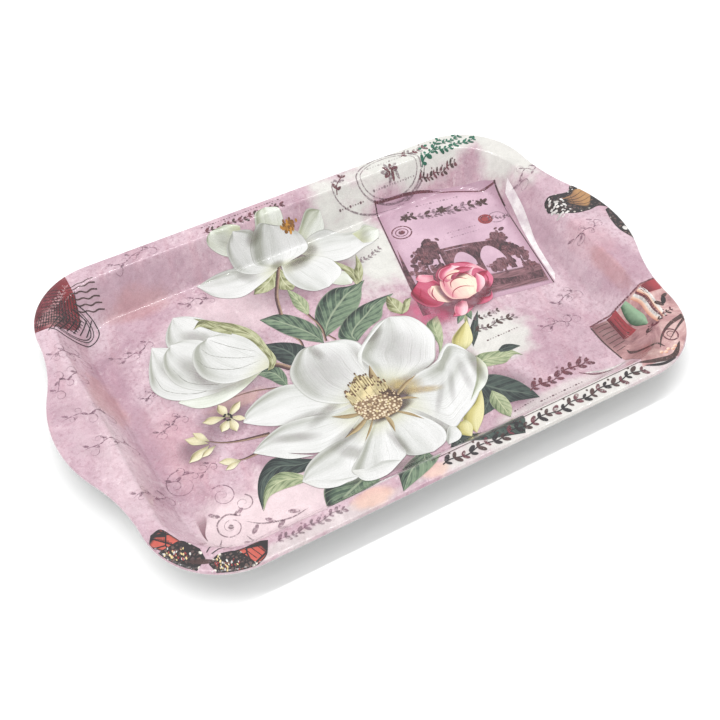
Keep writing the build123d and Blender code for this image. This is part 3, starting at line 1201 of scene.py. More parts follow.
def garland(start, stop, size, materials, layer, wave=0.12):
    """Thin wavy stem with leaves on both sides and a berry here and there: printer's foliage."""
    a, b = np.array(start, float), np.array(stop, float)
    length = np.linalg.norm(b - a)
    way = (b - a) / length
    side = np.array([-way[1], way[0]])
    turn = math.atan2(way[1], way[0])
    count = max(2, int(round(length / (size * 0.62))))

    def stem(k):
        return a + way * length * k + side * math.sin(k * count * math.pi / 2) * size * wave

    t = np.linspace(0, 1, 2 * count + 1)
    parts = [stroke([tuple(stem(k)) for k in t], max(0.45, size * 0.09), materials[0], layer)]
    for n in range(count):
        root = stem((n + 0.4) / count)
        material = materials[n % len(materials)]
        for hand in (1, -1):
            reach = size * (0.27 + 0.06 * math.sin(n * 2.3 + hand))
            middle = root + way * reach * 0.8 + side * hand * reach * 0.75
            angle = turn + hand * (0.7 + 0.2 * math.sin(n * 1.7))
            gap = max(0.7, reach * 0.4)
            parts.append(oval(*middle, reach, reach * 0.5, material, layer + 1, angle, gap))
        if n % 3 == 1:
            berry = root + side * size * 0.5
            parts.append(oval(*berry, size * 0.09, size * 0.09, material, layer + 1, 0, 0.8))
    return parts


def beads(start, stop, size, material, layer):
    """Row of small lozenges, every fourth one larger: a plain printer's rule."""
    a, b = np.array(start, float), np.array(stop, float)
    turn = math.atan2(*(b - a)[::-1])
    count = max(3, int(np.linalg.norm(b - a) / (size * 1.3)))
    parts = []
    for n in range(count):
        x, y = a + (b - a) * (n + 0.5) / count
        big = size * (0.55 if n % 4 == 0 else 0.3)
        parts.append(oval(x, y, big, big * 0.7, material, layer, turn, 0.8))
    return parts


def spiral(x, y, size, width, material, layer, turns=1.4, start=0.0, hand=1):
    """Curl of line that winds in towards its centre."""
    t = np.linspace(0, 1, 14)
    angle = start + hand * t * turns * 2 * math.pi
    r = size * (1 - 0.85 * t)
    points = [(x + q * math.cos(s), y + q * math.sin(s)) for q, s in zip(r, angle)]
    return stroke(points, width, material, layer, "taper", 0.8)


swag = garland((82, 86), (144, 72), 8.4, (grey_line, brown_line), 5)
swag += garland((94, 80), (134, 71), 5.0, (grey_line,), 7)
swag += beads((98, 92), (130, 86), 1.8, grey_line, 7)
for x, y in ((86, 85), (112, 80), (140, 73)):
    for k in range(6):
        turn = k * math.pi / 3
        place = (x + 2.6 * math.cos(turn), y + 1.9 * math.sin(turn))
        swag.append(oval(*place, 2.0, 1.0, brown_line, 9, turn, 0.9))
for y in (58, 53):
    swag += beads((102, y), (124, y - 3), 1.5, grey_line, 5)
swag += [ring(76, 74, 7, 6, 1.0, maroon_line, 5), ring(76, 74, 4.5, 3.6, 0.7, maroon_line, 5)]
swag += [oval(76, 74, 2.4, 2.0, maroon_line, 6)]
seal_ink = line_ink("seal_red", tint(160, 66, 68), 0.9, 0.36)
swag += [oval(133, 57, 5.2, 4.8, seal_ink, 5), ring(133, 57, 3.2, 3.0, 0.7, maroon_line, 6)]
swag += garland((136, 56), (149, 52), 4.4, (grey_line,), 6)
swag += [ring(141, 55, 6, 5, 0.7, grey_line, 6)]
gather("postcard_ornament", swag)

# %% [markdown]
# ## Leaves
# The leaves go on before the petals that hide their stalks. Each is two edges from stalk to tip;
# one edge of the far pair is left paler, as if the light fell over it.

# %% Leaves
leaves = [
    petal([(-19, 11), (-28, 19), (-36, 29), (-41, 39), (-45, 49)], [
        (-19, 11), (-16, 22), (-20, 35), (-31, 47), (-45, 49)], dark_leaf, 6),
    petal([(-16, 15), (-15, 30), (-6, 43), (8, 50), (20, 47), (31, 47)], [
        (-16, 15), (0, 20), (13, 26), (21, 34), (26, 42), (31, 47)], dark_leaf, 6),
    petal([(0, 2), (-9, 10), (0, 21), (14, 27), (28, 28), (41, 27)], [
        (0, 2), (11, 8), (23, 12), (30, 21), (41, 27)], dark_leaf, 7),
    petal([(-45, 4), (-50, 11), (-52, 19), (-53, 29)], [
        (-45, 4), (-31, 9), (-33, 18), (-42, 25), (-53, 29)], deep_leaf, 6),
    petal([(-55, -9), (-59, -5), (-62, 1), (-67, 9)], [
        (-55, -9), (-52, -1), (-53, 8), (-60, 11), (-67, 9)], dark_leaf, 7),
    petal([(-66, -66), (-77, -59), (-88, -53), (-99, -59), (-106, -70), (-109, -82)], [
        (-66, -66), (-77, -70), (-88, -66), (-98, -67), (-104, -74), (-109, -82)], deep_leaf, 7),
    petal([(-77, -77), (-79, -71), (-88, -64), (-97, -66), (-104, -73), (-109, -83)], [
        (-77, -77), (-86, -76), (-94, -75), (-102, -76), (-109, -83)], pale_leaf, 8),
    petal([(-44, -86), (-60, -84), (-72, -86), (-77, -97), (-80, -110)], [
        (-44, -86), (-42, -96), (-50, -104), (-64, -109), (-80, -110)], dark_leaf, 6, gap=1.0),
    petal([(-8, -90), (-26, -96), (-38, -108), (-44, -124)], [
        (-8, -90), (-8, -104), (-18, -116), (-44, -124)], dark_leaf, 6, gap=1.0),
    petal([(12, -90), (2, -102), (8, -114), (36, -124)], [
        (12, -90), (30, -100), (42, -112), (36, -124)], deep_leaf, 6, gap=1.0),
    petal([(46, -60), (58, -63), (67, -73), (71, -84), (72, -92)], [
        (43, -64), (42, -74), (48, -84), (60, -88), (72, -92)], deep_leaf, 6),
    petal([(46, -66), (40, -74), (35, -80), (35, -87)], [
        (48, -70), (49, -78), (46, -85), (35, -87)], deep_leaf, 6),
    petal([(50, -73), (44, -80), (44, -89), (48, -96)], [
        (50, -73), (54, -81), (53, -90), (48, -96)], pale_leaf, 8),
    petal([(50, -48), (60, -45), (70, -48), (78, -51), (83, -59)], [
        (50, -54), (62, -57), (70, -59), (78, -56), (83, -59)], pale_leaf, 7),
    petal([(72, -48), (77, -46), (82, -48), (86, -52)], [
        (72, -50), (77, -52), (82, -52), (86, -52)], deep_leaf, 8),
    petal([(36, -36), (42, -26), (43, -16), (45, -7), (55, -4)], [
        (36, -36), (46, -25), (52, -14), (55, -4)], pale_leaf, 7),
    petal([(60, -38), (64, -28), (70, -21), (80, -13)], [
        (60, -38), (69, -30), (75, -21), (80, -13)], deep_leaf, 7),
    petal([(-16, 36), (-20, 47), (-19, 56), (-17, 65)], [
        (-16, 36), (-11, 47), (-13, 57), (-17, 65)], pale_leaf, 7),
    petal([(-14, 86), (-24, 84), (-33, 78), (-38, 71)], [
        (-14, 86), (-18, 74), (-28, 69), (-38, 71)], olive_leaf, 7),
    petal([(-12, 85), (-20, 76), (-22, 68), (-14, 62)], [
        (-12, 85), (-11, 76), (-9, 68), (-14, 62)], olive_leaf, 7),
]
gather("leaves", leaves)

# %% [markdown]
# ## Stems and twigs
# Stems are tapered strokes. The left twigs carry small cream buds and one small open flower.

# %% Stems and twigs


def paint_stem(tree, at, u, v):
    """Brown stem with a lit upper side."""
    side = times(tree, grain(tree, at, 300, 4.0), 0.5, v)
    return shades(tree, side, (0.35, tint(58, 36, 40)), (0.8, tint(104, 74, 68)),
        (1.2, tint(160, 134, 112)))


stem_ink = ink("brown_stem", paint_stem)
stems = [
    stroke([(-11, 88), (-18, 76), (-26, 62), (-31, 46)], 2.4, stem_ink, 9),
    stroke([(-57, 12), (-52, 9), (-47, 3)], 3.6, stem_ink, 8),
    stroke([(-81, -36), (-98, -32), (-108, -28), (-116, -22)], 2.6, stem_ink, 9, "taper"),
    stroke([(-94, -45), (-102, -45), (-108, -43)], 2.2, stem_ink, 9, "taper"),
    stroke([(-58, -8), (-75, -2), (-91, 0)], 1.3, stem_ink, 9, "taper"),
    stroke([(76, -3), (70, -14), (61, -33)], 2.2, olive_leaf, 9),
    petal([(75, -6), (71, -12), (72, -18)], [(75, -6), (76, -12), (72, -18)], dark_leaf, 10,
        gap=1.0),
    petal([(73, -8), (66, -11), (62, -17)], [(73, -8), (69, -14), (62, -17)], dark_leaf, 10,
        gap=1.0),
    stroke([(-17, 12), (-14, 24), (-16, 38)], 1.6, stem_ink, 9),
    stroke([(-33, 10), (-31, 20), (-34, 28)], 1.6, stem_ink, 5),
    stroke([(-11, 10), (-18, 26)], 1.2, stem_ink, 5),
]
gather("stems", stems)

buds = []
for tip, root, wide in (
    ((-126, -15), (-115, -25), 6), ((-120, -13), (-114, -24), 5), ((-131, -32), (-115, -26), 6),
    ((-123, -32), (-112, -28), 4), ((-116, -40), (-104, -45), 5), ((-115, -47), (-104, -45), 4),
    ((-98, -1), (-97, -13), 6), ((-85, -5), (-97, -13), 5), ((-97, -25), (-96, -13), 6),
    ((-105, -21), (-97, -14), 6), ((-112, -9), (-98, -12), 6), ((-88, -19), (-96, -13), 4),
):
    buds.append(petal(*spear(root, tip, wide), cream_bud, 10 + len(buds) % 2, gap=1.0))
for n in range(9):
    angle = n * 2.4
    place = (-97 + 2.2 * math.cos(angle), -12.5 + 2.4 * math.sin(angle))
    buds.append(oval(*place, 0.8, 0.8, black_line, 13))
buds.append(petal([(54, -38), (49, -33), (52, -26), (60, -21), (69, -17)], [
    (54, -38), (62, -34), (66, -27), (69, -17)], yellow_bud, 9))
buds.append(petal([(46, -67), (36, -76), (27, -78), (22, -85), (24, -96)], [
    (46, -67), (41, -78), (34, -88), (24, -96)], yellow_bud, 9))
buds.append(petal([(24, -84), (17, -85), (14, -90), (20, -97)], [
    (24, -84), (25, -90), (20, -97)], yellow_bud, 9))
buds.append(petal([(36, 8), (31, 14), (32, 21), (36, 27)], [(36, 8), (41, 14), (40, 21), (36, 27)],
    olive_leaf, 8))
buds.append(petal([(36, 8), (41, 9), (45, 13), (49, 18)], [(36, 8), (40, 14), (44, 18), (49, 18)],
    olive_leaf, 9))
gather("buds", buds)

# %% [markdown]
# ## Closed blossom on the left
# A magnolia bud that is just opening: five petals wrapped round one another, each with a soft
# shadow on the one behind, and slim olive sepals along its right side.

# %% Closed blossom
closed = [
    petal([(-58, 12), (-80, 2), (-95, -1), (-109, 2), (-118, 12)], [
        (-58, 14), (-80, 13), (-95, 14), (-108, 16), (-118, 12)], green_petal, 9, 0.2),
    petal([(-72, 8), (-98, 8), (-118, 14), (-127, 27), (-124, 42), (-114, 61)], [
        (-72, 14), (-84, 30), (-96, 46), (-104, 55), (-114, 61)], clean_petal, 10, 0.25),
    petal([(-84, 26), (-98, 42), (-105, 56), (-101, 68), (-92, 78)], [
        (-64, 38), (-70, 56), (-76, 68), (-84, 75), (-92, 78)], clean_petal, 10, 0.3),
    petal([(-66, 9), (-94, 10), (-111, 22), (-115, 38), (-111, 50), (-103, 57)], [
        (-66, 16), (-76, 30), (-80, 42), (-84, 51), (-94, 57), (-103, 57)], clean_petal, 12, 0.4),
    petal([(-58, 10), (-74, 9), (-88, 12), (-97, 23), (-97, 37), (-91, 47), (-80, 51)], [
        (-57, 12), (-53, 22), (-55, 35), (-63, 45), (-71, 50), (-80, 51)], clean_petal, 16, 0.5),
]
closed += [
    oval(-92, 20, 14, 16, petal_shadow, 15, 0.5, 2),
    oval(-98, 30, 10, 20, petal_shadow, 13, 0.3, 2),
    oval(-110, 36, 9, 18, petal_shadow, 11, 0.2, 2),
    stroke([(-60, 18), (-76, 19), (-90, 28), (-94, 38)], 0.5, vein_line, 17, "swell"),
    stroke([(-60, 22), (-72, 27), (-84, 36), (-88, 45)], 0.5, vein_line, 17, "swell"),
    stroke([(-59, 26), (-68, 34), (-75, 42), (-80, 49)], 0.5, vein_line, 17, "swell"),
    stroke([(-74, 11), (-92, 14), (-106, 24), (-110, 38)], 0.5, vein_line, 13, "swell"),
    stroke([(-80, 12), (-104, 13), (-120, 24), (-122, 38)], 0.5, vein_line, 11, "swell"),
    oval(-86, 54, 16, 9, petal_shadow, 11, -0.7, 2),
    oval(-82, 8, 26, 6, petal_shadow, 15, 0.0, 2),
]
closed += [
    petal([(-55, 18), (-58, 36), (-66, 48), (-74, 58), (-81, 71)], [
        (-51, 22), (-52, 40), (-59, 52), (-69, 61), (-81, 71)], olive_leaf, 17),
    petal([(-66, 46), (-74, 54), (-80, 62), (-85, 62)], [
        (-64, 50), (-72, 60), (-78, 67), (-85, 62)], olive_leaf, 18),
    petal([(-60, 8), (-56, 14), (-55, 22), (-54, 32)], [
        (-56, 8), (-51, 14), (-51, 24), (-54, 32)], olive_leaf, 18),
]
gather("closed_blossom", closed)

# %% [markdown]
# ## Blossom at the top
# This one is seen from the side. Its cup climbs the far wall of the tray and spreads on to the
# flange, so its grid is finer, to follow both bends of the metal.

# %% Top blossom
TOP_GAP = 0.9
top = [
    petal([(-30, 100), (-44, 104), (-51, 110), (-46, 115)], [
        (-26, 112), (-34, 116), (-40, 116), (-46, 115)], green_petal, 9, 0.3, gap=TOP_GAP),
    petal([(-18, 100), (-16, 110), (-12, 117), (-4, 119)], [
        (0, 100), (4, 108), (3, 115), (-4, 119)], green_petal, 9, 0.3, gap=TOP_GAP),
    petal([(6, 98), (14, 104), (22, 109), (31, 107)], [
        (10, 94), (22, 97), (30, 100), (31, 107)], green_petal, 9, 0.3, gap=TOP_GAP),
    petal([(-14, 84), (-30, 77), (-46, 73), (-60, 81), (-67, 96)], [
        (-12, 92), (-30, 96), (-40, 98), (-54, 98), (-67, 96)], clean_petal, 10, 0.4, gap=TOP_GAP),
    petal([(6, 90), (13, 80), (20, 73), (32, 70), (46, 74), (56, 76), (64, 85)], [
        (6, 94), (18, 99), (32, 99), (42, 93), (52, 91), (58, 94), (64, 85)], clean_petal, 10, 0.4,
        gap=TOP_GAP),
    petal([(48, 78), (54, 76), (60, 78), (64, 85)], [
        (46, 90), (52, 91), (58, 93), (64, 85)], green_petal, 12, 0.3, gap=TOP_GAP),
    petal([(2, 86), (14, 74), (22, 62), (28, 56), (22, 48)], [
        (0, 80), (6, 66), (10, 56), (16, 50), (22, 48)], green_petal, 10, 0.3),
    petal([(-10, 87), (-13, 74), (-10, 62), (-2, 54), (8, 53)], [
        (6, 87), (18, 80), (23, 70), (21, 60), (8, 53)], clean_petal, 12, 0.4),
    petal([(-14, 85), (-30, 88), (-38, 96), (-40, 105), (-32, 111)], [
        (-12, 86), (-14, 96), (-16, 104), (-20, 109), (-32, 111)], clean_petal, 13, 0.45,
        gap=TOP_GAP),
    petal([(-14, 86), (-24, 94), (-24, 103), (-14, 110), (-6, 108)], [
        (-8, 86), (10, 90), (15, 97), (8, 104), (-6, 108)], clean_petal, 15, 0.45, gap=TOP_GAP),
]
top += [
    oval(-34, 90, 9, 12, petal_shadow, 12, 0.4, 1.2),
    oval(8, 88, 14, 6, petal_shadow, 14, 0.2, 1.2),
    oval(0, 82, 13, 7, petal_shadow, 14, 0.0, 1.2),
    oval(-20, 106, 8, 4, green_shadow, 16, 0.3, 1.0),
    oval(-12, 88, 7, 5, green_shadow, 17, 0.3, 1.0),
    oval(4, 84, 14, 4, green_shadow, 16, 0.05, 1.0),
    oval(52, 83, 10, 6, fold_shadow, 13, 0.9, 1.0),
    oval(-38, 108, 10, 5, fold_shadow, 12, -0.4, 1.0),
    oval(14, 92, 7, 9, petal_shadow, 12, 0.3, 1.2),
    petal([(24, 46), (24, 56), (23, 64), (22, 73)], [(26, 46), (30, 56), (28, 63), (22, 73)],
        olive_leaf, 13),
    petal([(25, 46), (28, 56), (33, 62), (38, 71)], [(29, 47), (34, 54), (37, 62), (38, 71)],
        olive_leaf, 14),
]
stamen_gold = line_ink("stamen_gold", tint(206, 144, 52), 1.0, 0.2)
stamen_tip = line_ink("stamen_tip", tint(140, 92, 34), 1.0, 0.2)
scatter = np.random.default_rng(5)
for n in range(46):
    x, y = 6 + scatter.normal(0, 2.6), 105.5 + scatter.normal(0, 1.4)
    top.append(oval(x, y, 0.8, 0.8, stamen_gold if n % 2 else stamen_tip, 17 + n % 3, gap=1))
gather("top_blossom", top)

# %% [markdown]
# ## Open magnolia
# The big flower is painted from the back forwards. Every petal is a patch from the middle of the
# flower to its own tip; where one lies over the next, a soft grey-green shadow goes between them,
# and the curled lips are narrow bright patches along the edge.

# %% Petals of the open magnolia
lip_ink = petal_ink(
    "petal_lip", tint(160, 162, 154), tint(212, 213, 210), tint(233, 233, 232), tint(206, 206, 198)
)
bloom = [
    oval(-15, -46, 27, 19, clean_petal, 9),
    oval(-44, -39, 28, 5, clean_petal, 9, -0.1),
    petal([(-26, -36), (-36, -25), (-46, -13), (-58, -7), (-72, -8), (-85, -14), (-91, -21)], [
        (-26, -40), (-40, -40), (-55, -36), (-72, -34), (-83, -28), (-91, -21)], clean_petal, 10),
    petal([(-26, -42), (-40, -42), (-50, -38), (-60, -35), (-72, -34), (-86, -38), (-96, -44)], [
        (-26, -50), (-38, -57), (-48, -62), (-60, -63), (-70, -59), (-83, -51), (-96, -44)],
        clean_petal, 12),
    petal([(-24, -54), (-40, -60), (-52, -61), (-64, -63), (-74, -68), (-81, -76)], [
        (-22, -62), (-36, -72), (-47, -81), (-52, -89), (-64, -88), (-74, -83), (-81, -76)],
        clean_petal, 14),
    petal([(-20, -38), (-32, -38), (-46, -28), (-51, -15), (-50, -2), (-43, 7), (-34, 13),
        (-24, 12)], [
        (-8, -36), (-3, -24), (-1, -10), (0, 0), (-6, 7), (-14, 10), (-24, 12)], clean_petal, 13),
    petal([(-8, -36), (-5, -28), (-5, -18), (-7, -9), (0, -3), (8, 3), (18, 9), (28, 10)], [
        (2, -44), (18, -40), (32, -36), (39, -27), (44, -17), (43, -4), (38, 5), (28, 10)],
        clean_petal, 15),
    petal([(-6, -58), (0, -70), (5, -80), (6, -88), (5, -95)], [
        (-2, -54), (8, -66), (13, -76), (16, -85), (12, -92), (5, -95)], clean_petal, 15),
    petal([(-4, -48), (8, -42), (20, -39), (32, -38), (39, -32), (47, -28), (53, -34), (57, -48)], [
        (-4, -56), (4, -66), (10, -77), (15, -86), (24, -82), (36, -76), (48, -66), (55, -57),
        (57, -48)],
        clean_petal, 17),
    petal([(-17, -58), (-19, -72), (-21, -86), (-16, -92), (-5, -95)], [
        (-6, -56), (1, -66), (7, -76), (9, -85), (5, -92), (-5, -95)], clean_petal, 18),
    petal([(-22, -58), (-32, -66), (-44, -76), (-53, -83), (-51, -89), (-44, -94), (-36, -95)], [
        (-15, -58), (-18, -70), (-19, -80), (-19, -88), (-27, -92), (-36, -95)], clean_petal, 19),
]
lips = [
    petal([(-96, -44), (-84, -49), (-76, -56), (-66, -63)], [
        (-96, -44), (-86, -53), (-78, -59), (-66, -63)], lip_ink, 16),
    petal([(-81, -76), (-73, -79), (-64, -84), (-52, -88)], [
        (-81, -76), (-74, -85), (-64, -89), (-52, -88)], lip_ink, 17),
    petal([(-53, -83), (-44, -86), (-34, -86), (-24, -91)], [
        (-53, -83), (-50, -93), (-38, -96), (-24, -91)], lip_ink, 21),
    petal([(-8, -22), (-8, -13), (-3, -5), (6, 1), (16, 7), (26, 10)], [
        (-8, -22), (-6, -13.5), (-1, -6.5), (7, -0.5), (16.5, 5), (26, 10)], lip_ink, 18, 0.3, 1.6),
    petal([(26, -39), (35, -36), (42, -30), (48, -28), (53, -34), (55, -42)], [
        (26, -39), (35.5, -37.5), (42.5, -32), (47.5, -30), (51.8, -35), (55, -42)], lip_ink, 19,
        0.3, 1.2),
    petal([(57, -46), (53, -52), (46, -62), (34, -74)], [
        (57, -44), (58, -56), (50, -67), (34, -74)], green_petal, 19),
    petal([(16, -86), (12, -84), (7, -90), (5, -95)], [(16, -86), (16, -92), (12, -95), (5, -95)],
        lip_ink, 20),
]
creases = [
    oval(-44, -38, 22, 5, petal_shadow, 12.45, 0.35, 2),
    oval(-62, -36, 26, 5, petal_shadow, 11, 0.0, 2),
    oval(-42, -60, 22, 6, petal_shadow, 15, 0.25, 2),
    oval(-4, -14, 6, 20, petal_shadow, 14, 0.1, 2),
    oval(20, -40, 26, 7, petal_shadow, 16, 0.12, 2),
    oval(8, -76, 9, 20, petal_shadow, 16, 0.35, 2),
    oval(6, -84, 6, 12, petal_shadow, 17, 0.3, 2),
    oval(-44, -74, 16, 7, petal_shadow, 17, -0.75, 2),
    oval(-19, -80, 4, 16, petal_shadow, 20, 0.1, 2),
    oval(-27, 6, 5, 9, petal_shadow, 15, 0.2, 2),
    oval(10, 1, 12, 5, petal_shadow, 16, 0.3, 2),
    oval(43, -54, 4, 19, fold_shadow, 18, -0.25, 2),
    oval(31, -58, 3, 17, fold_shadow, 18, -0.5, 2),
    oval(20, -62, 3, 18, fold_shadow, 18, -0.7, 2),
    oval(-70, -46, 20, 5, petal_shadow, 13, -0.4, 2),
    oval(-28, -10, 26, 24, fold_shadow, 14, 0.0, 2),
    oval(20, -16, 20, 26, fold_shadow, 16, 0.4, 2),
    oval(-50, -88, 14, 6, petal_shadow, 13, 0.1, 2),
    oval(-24, -94, 14, 4, petal_shadow, 13, 0.0, 2),
    oval(50, -36, 5, 9, petal_shadow, 16, 0.3, 2),
    oval(53, -52, 5, 18, green_shadow, 20, -0.2, 2),
    oval(12, -88, 7, 6, green_shadow, 16, 0.4, 2),
]
gather("open_magnolia", bloom + creases)
gather("magnolia_lips", lips)

# %% [markdown]
# ### Its centre
# A knobbly dome of pistils with the stamens standing up behind it. The dome is one patch whose
# ink is broken into rounded cells; the stamens, bracts and crumbs are separate strokes.

# %% Centre of the magnolia


def paint_dome(tree, at, u, v):
    """Rounded cream knobs with dark gaps, shaded towards the lower right."""
    cells = put(tree, "TexVoronoi", {"Vector": at, "Scale": 560.0, "Randomness": 0.75})
    knob = step(tree, cells.outputs["Distance"], 0.62, 0.12)
    side = step(tree, times(tree, v, -0.35, u), 0.45, 0.95)
    value = times(tree, side, -0.55, knob)
    value = times(tree, grain(tree, at, 420, 3.0), 0.3, value)
    return shades(
        tree, value, (0.0, tint(74, 54, 44)), (0.3, tint(158, 130, 98)),
        (0.6, tint(200, 178, 146)), (0.95, tint(228, 214, 186)),
    )


dome_ink = ink("pistil_knobs", paint_dome)
filament = line_ink("filament", tint(222, 206, 158), 1.0, 0.2)
anther = line_ink("anther", tint(112, 84, 62), 1.0, 0.25)
middle = [
    oval(-12, -46, 24, 20, warm_glow, 21, 0, 2),
    oval(6, -44, 15, 10, warm_glow, 21, -0.3, 2),
    oval(-18, -36, 14, 12, warm_glow, 21, 0, 2),
    oval(0, -50, 8, 8, deep_shadow, 22, 0.2, 1.5),
    oval(-11, -57.5, 20, 4.5, deep_shadow, 22, 0.1, 1.5),
    oval(14, -52, 16, 4, warm_glow, 22, -0.35, 1.5),
]
for tip, root, wide in (
    ((-44, -43), (-26, -50), 3.0), ((-45, -61), (-24, -53), 3.2), ((-36, -69), (-23, -56), 1.4),
    ((-17, -72), (-16, -56), 2.8), ((3, -72), (-9, -58), 2.0), ((17, -40), (-3, -49), 2.6),
    ((-4, -19), (-6, -40), 5.0), ((9, -57), (-2, -51), 1.8),
):
    middle.append(petal(*spear(root, tip, wide, 0.4, 0.5, 0.8), bract, 23, gap=1.0))


def paint_bed(tree, at, u, v):
    """Olive-brown depth between the stamens, streaked upwards."""
    streak = grain(tree, stretched(tree, at, 900, 160), 1.0, 4.0, 0.6)
    return shades(
        tree, streak, (0.38, tint(84, 66, 42)), (0.56, tint(150, 130, 88)),
        (0.74, tint(216, 202, 158))
    )


middle.append(petal([(-29, -42), (-28, -36), (-22, -28), (-17, -23)], [
    (-2, -44), (-3, -37), (-9, -29), (-13, -23)], ink("stamen_bed", paint_bed), 24, gap=1.0))
middle.append(lay(stretch([(-29, -50), (-29, -44), (-22, -39), (-8, -39), (-2, -44), (0, -49)], [
    (-29, -50), (-26, -56), (-18, -59), (-8, -59), (-2, -55), (0, -49)], 1.0), dome_ink, 26))
pick = np.random.default_rng(21)
for n in range(38):
    x = -28 + 25 * (n + 0.5) / 38 + pick.normal(0, 0.4)
    foot = -42 + pick.uniform(0, 3)
    top_y = -37.5 + (1 - ((x + 15.5) / 14) ** 2) * pick.uniform(2, 18)
    lean = (x + 15.5) * 0.10
    middle.append(stroke([(x, foot), (x + lean, top_y)], 0.85, filament, 27 + n % 2))
    middle.append(oval(x + lean, top_y, 0.6, 0.85, anther, 30, gap=1))
for n in range(24):
    x, y = pick.uniform(-28, -2), pick.uniform(-57, -41)
    if ((x + 15) / 14) ** 2 + ((y + 49) / 9.5) ** 2 < 1:
        middle.append(oval(x, y, 0.65, 0.65, filament if n % 4 else anther, 28, gap=1))
gather("magnolia_centre", middle)

# %% [markdown]
# ## Rose
# A small pink rose lies over the foot of the postcard. Its outer petals are crimson with pale
# edges, and the inner ones open to cream.

# %% Rose
rose_red = petal_ink(
    "rose_crimson", tint(112, 18, 42), tint(168, 42, 74), tint(216, 112, 142), tint(98, 14, 36), 0.6
)
rose_pink = petal_ink(
    "rose_pink", tint(184, 70, 100), tint(222, 134, 156), tint(244, 206, 212), tint(168, 46, 78),
    0.45
)
rose_cream = petal_ink(
    "rose_cream", tint(212, 138, 150), tint(234, 198, 186), tint(246, 230, 206),
    tint(222, 160, 160), 0.3
)
rose_deep = soft("rose_deep", tint(120, 16, 44), 1.0, 0.5)
rose = [
    oval(79, 8, 27, 23, rose_deep, 9, 0.1, 2),
    oval(64, 2, 20, 18, pink_glow, 8, 0.4, 2),
    petal([(72, 6), (60, 2), (52, 8), (50, 20), (58, 26)], [
        (72, 8), (72, 20), (68, 28), (64, 30), (58, 26)], rose_red, 10, 0.5),
    petal([(72, 0), (66, 3), (61, 9), (61, 17), (66, 20)], [
        (72, 4), (71, 12), (70, 18), (66, 20)], rose_cream, 12, 0.4),
    petal([(70, 24), (64, 25), (60, 30), (64, 33)], [(72, 28), (68, 31), (64, 33)], rose_pink, 12),
    petal([(84, 2), (74, 14), (72, 24), (78, 31), (88, 32)], [
        (88, 4), (104, 10), (104, 18), (98, 28), (88, 32)], rose_red, 11, 0.5),
    petal([(90, 2), (98, 0), (105, 6), (106, 14)], [(90, 8), (94, 14), (100, 16), (106, 14)],
        rose_red, 13),
    petal([(92, 12), (96, 18), (100, 20), (105, 14)], [(90, 16), (94, 24), (101, 24), (105, 14)],
        rose_pink, 14),
    petal([(86, 0), (78, -4), (70, -4), (63, -10)], [(84, -6), (76, -11), (69, -12), (63, -10)],
        rose_red, 12),
    petal([(80, 2), (88, -4), (94, -6), (98, -2)], [(78, -6), (86, -10), (94, -9), (98, -2)],
        rose_red, 12),
    petal([(76, -1), (70, -2), (66, -8), (68, -12)], [(78, -3), (76, -8), (72, -12), (68, -12)],
        rose_pink, 13),
    petal([(80, -1), (71, 4), (70, 14), (74, 22), (82, 24)], [
        (82, -1), (92, 2), (95, 10), (92, 19), (82, 24)], rose_cream, 14, 0.55),
    petal([(76, 18), (74, 24), (79, 30), (88, 30)], [(80, 18), (84, 24), (92, 26), (88, 30)],
        rose_pink, 15, 0.6),
    petal([(80, 20), (84, 25), (92, 26), (99, 21)], [(82, 18), (88, 21), (94, 20), (99, 21)],
        rose_red, 16),
    petal([(78, 20), (80, 25), (86, 26), (90, 23)], [(80, 19), (83, 22), (87, 22), (90, 23)],
        rose_cream, 17),
    petal([(88, 1), (92, 6), (95, 12), (98, 16)], [(90, 0), (97, 4), (100, 10), (98, 16)],
        rose_pink, 16),
]
rose += [
    oval(71, 8, 5, 14, rose_deep, 13, 0.1, 1.5),
    oval(84, 22, 14, 5, rose_deep, 15, -0.1, 1.5),
    oval(92, 2, 10, 7, rose_deep, 14, 0.4, 1.5),
    oval(80, -5, 12, 5, rose_deep, 13, 0.1, 1.5),
    stroke([(73, 15), (76, 21), (83, 23), (91, 20), (94, 13)], 0.9, rose_line, 18, "swell"),
    stroke([(76, 12), (79, 17), (85, 18), (90, 14)], 0.8, rose_line, 18, "swell"),
    stroke([(72, 4), (76, 9), (83, 10), (90, 6)], 0.7, rose_line, 18, "swell"),
    stroke([(98, 2), (102, 8), (103, 15)], 0.8, rose_line, 18, "swell"),
    stroke([(55, 6), (54, 14), (59, 22)], 0.9, rose_line, 18, "swell"),
    stroke([(62, 6), (62, 13), (66, 18)], 0.8, rose_line, 18, "swell"),
]
gather("rose", rose)

# %% [markdown]
# ## Postage stamp and cancel marks
# The far left corner carries part of a dark red stamp with a ring postmark and wavy cancel
# lines. The stamp is shown as engraved foliage, with no wording.

# %% Stamp in the far left corner


def paint_stamp(tree, at, u, v):
    """Dark red engraving: fine hatching, lighter clouds, worn edges."""
    hatch = put(tree, "TexWave", {"Vector": at, "Scale": 420.0, "Distortion": 6.0, "Detail": 3.0})
    cloud = grain(tree, at, 60, 5.0, 0.65, 0.8)
    value = times(tree, hatch.outputs["Fac"], 0.32, cloud)
    color = shades(
        tree, value, (0.5, tint(58, 14, 24)), (0.68, tint(108, 30, 42)),
        (0.86, tint(150, 70, 80)), (1.05, tint(214, 172, 174)),
    )
    blaze = patch(tree, at, -146, 106, 6, 14, 0.8)
    color = wash(tree, color, tint(128, 12, 22), blaze, 0.6)
    pale = patch(tree, at, -163, 93, 7, 8, 2.2)
    return wash(tree, color, tint(206, 160, 160), pale, 0.4)


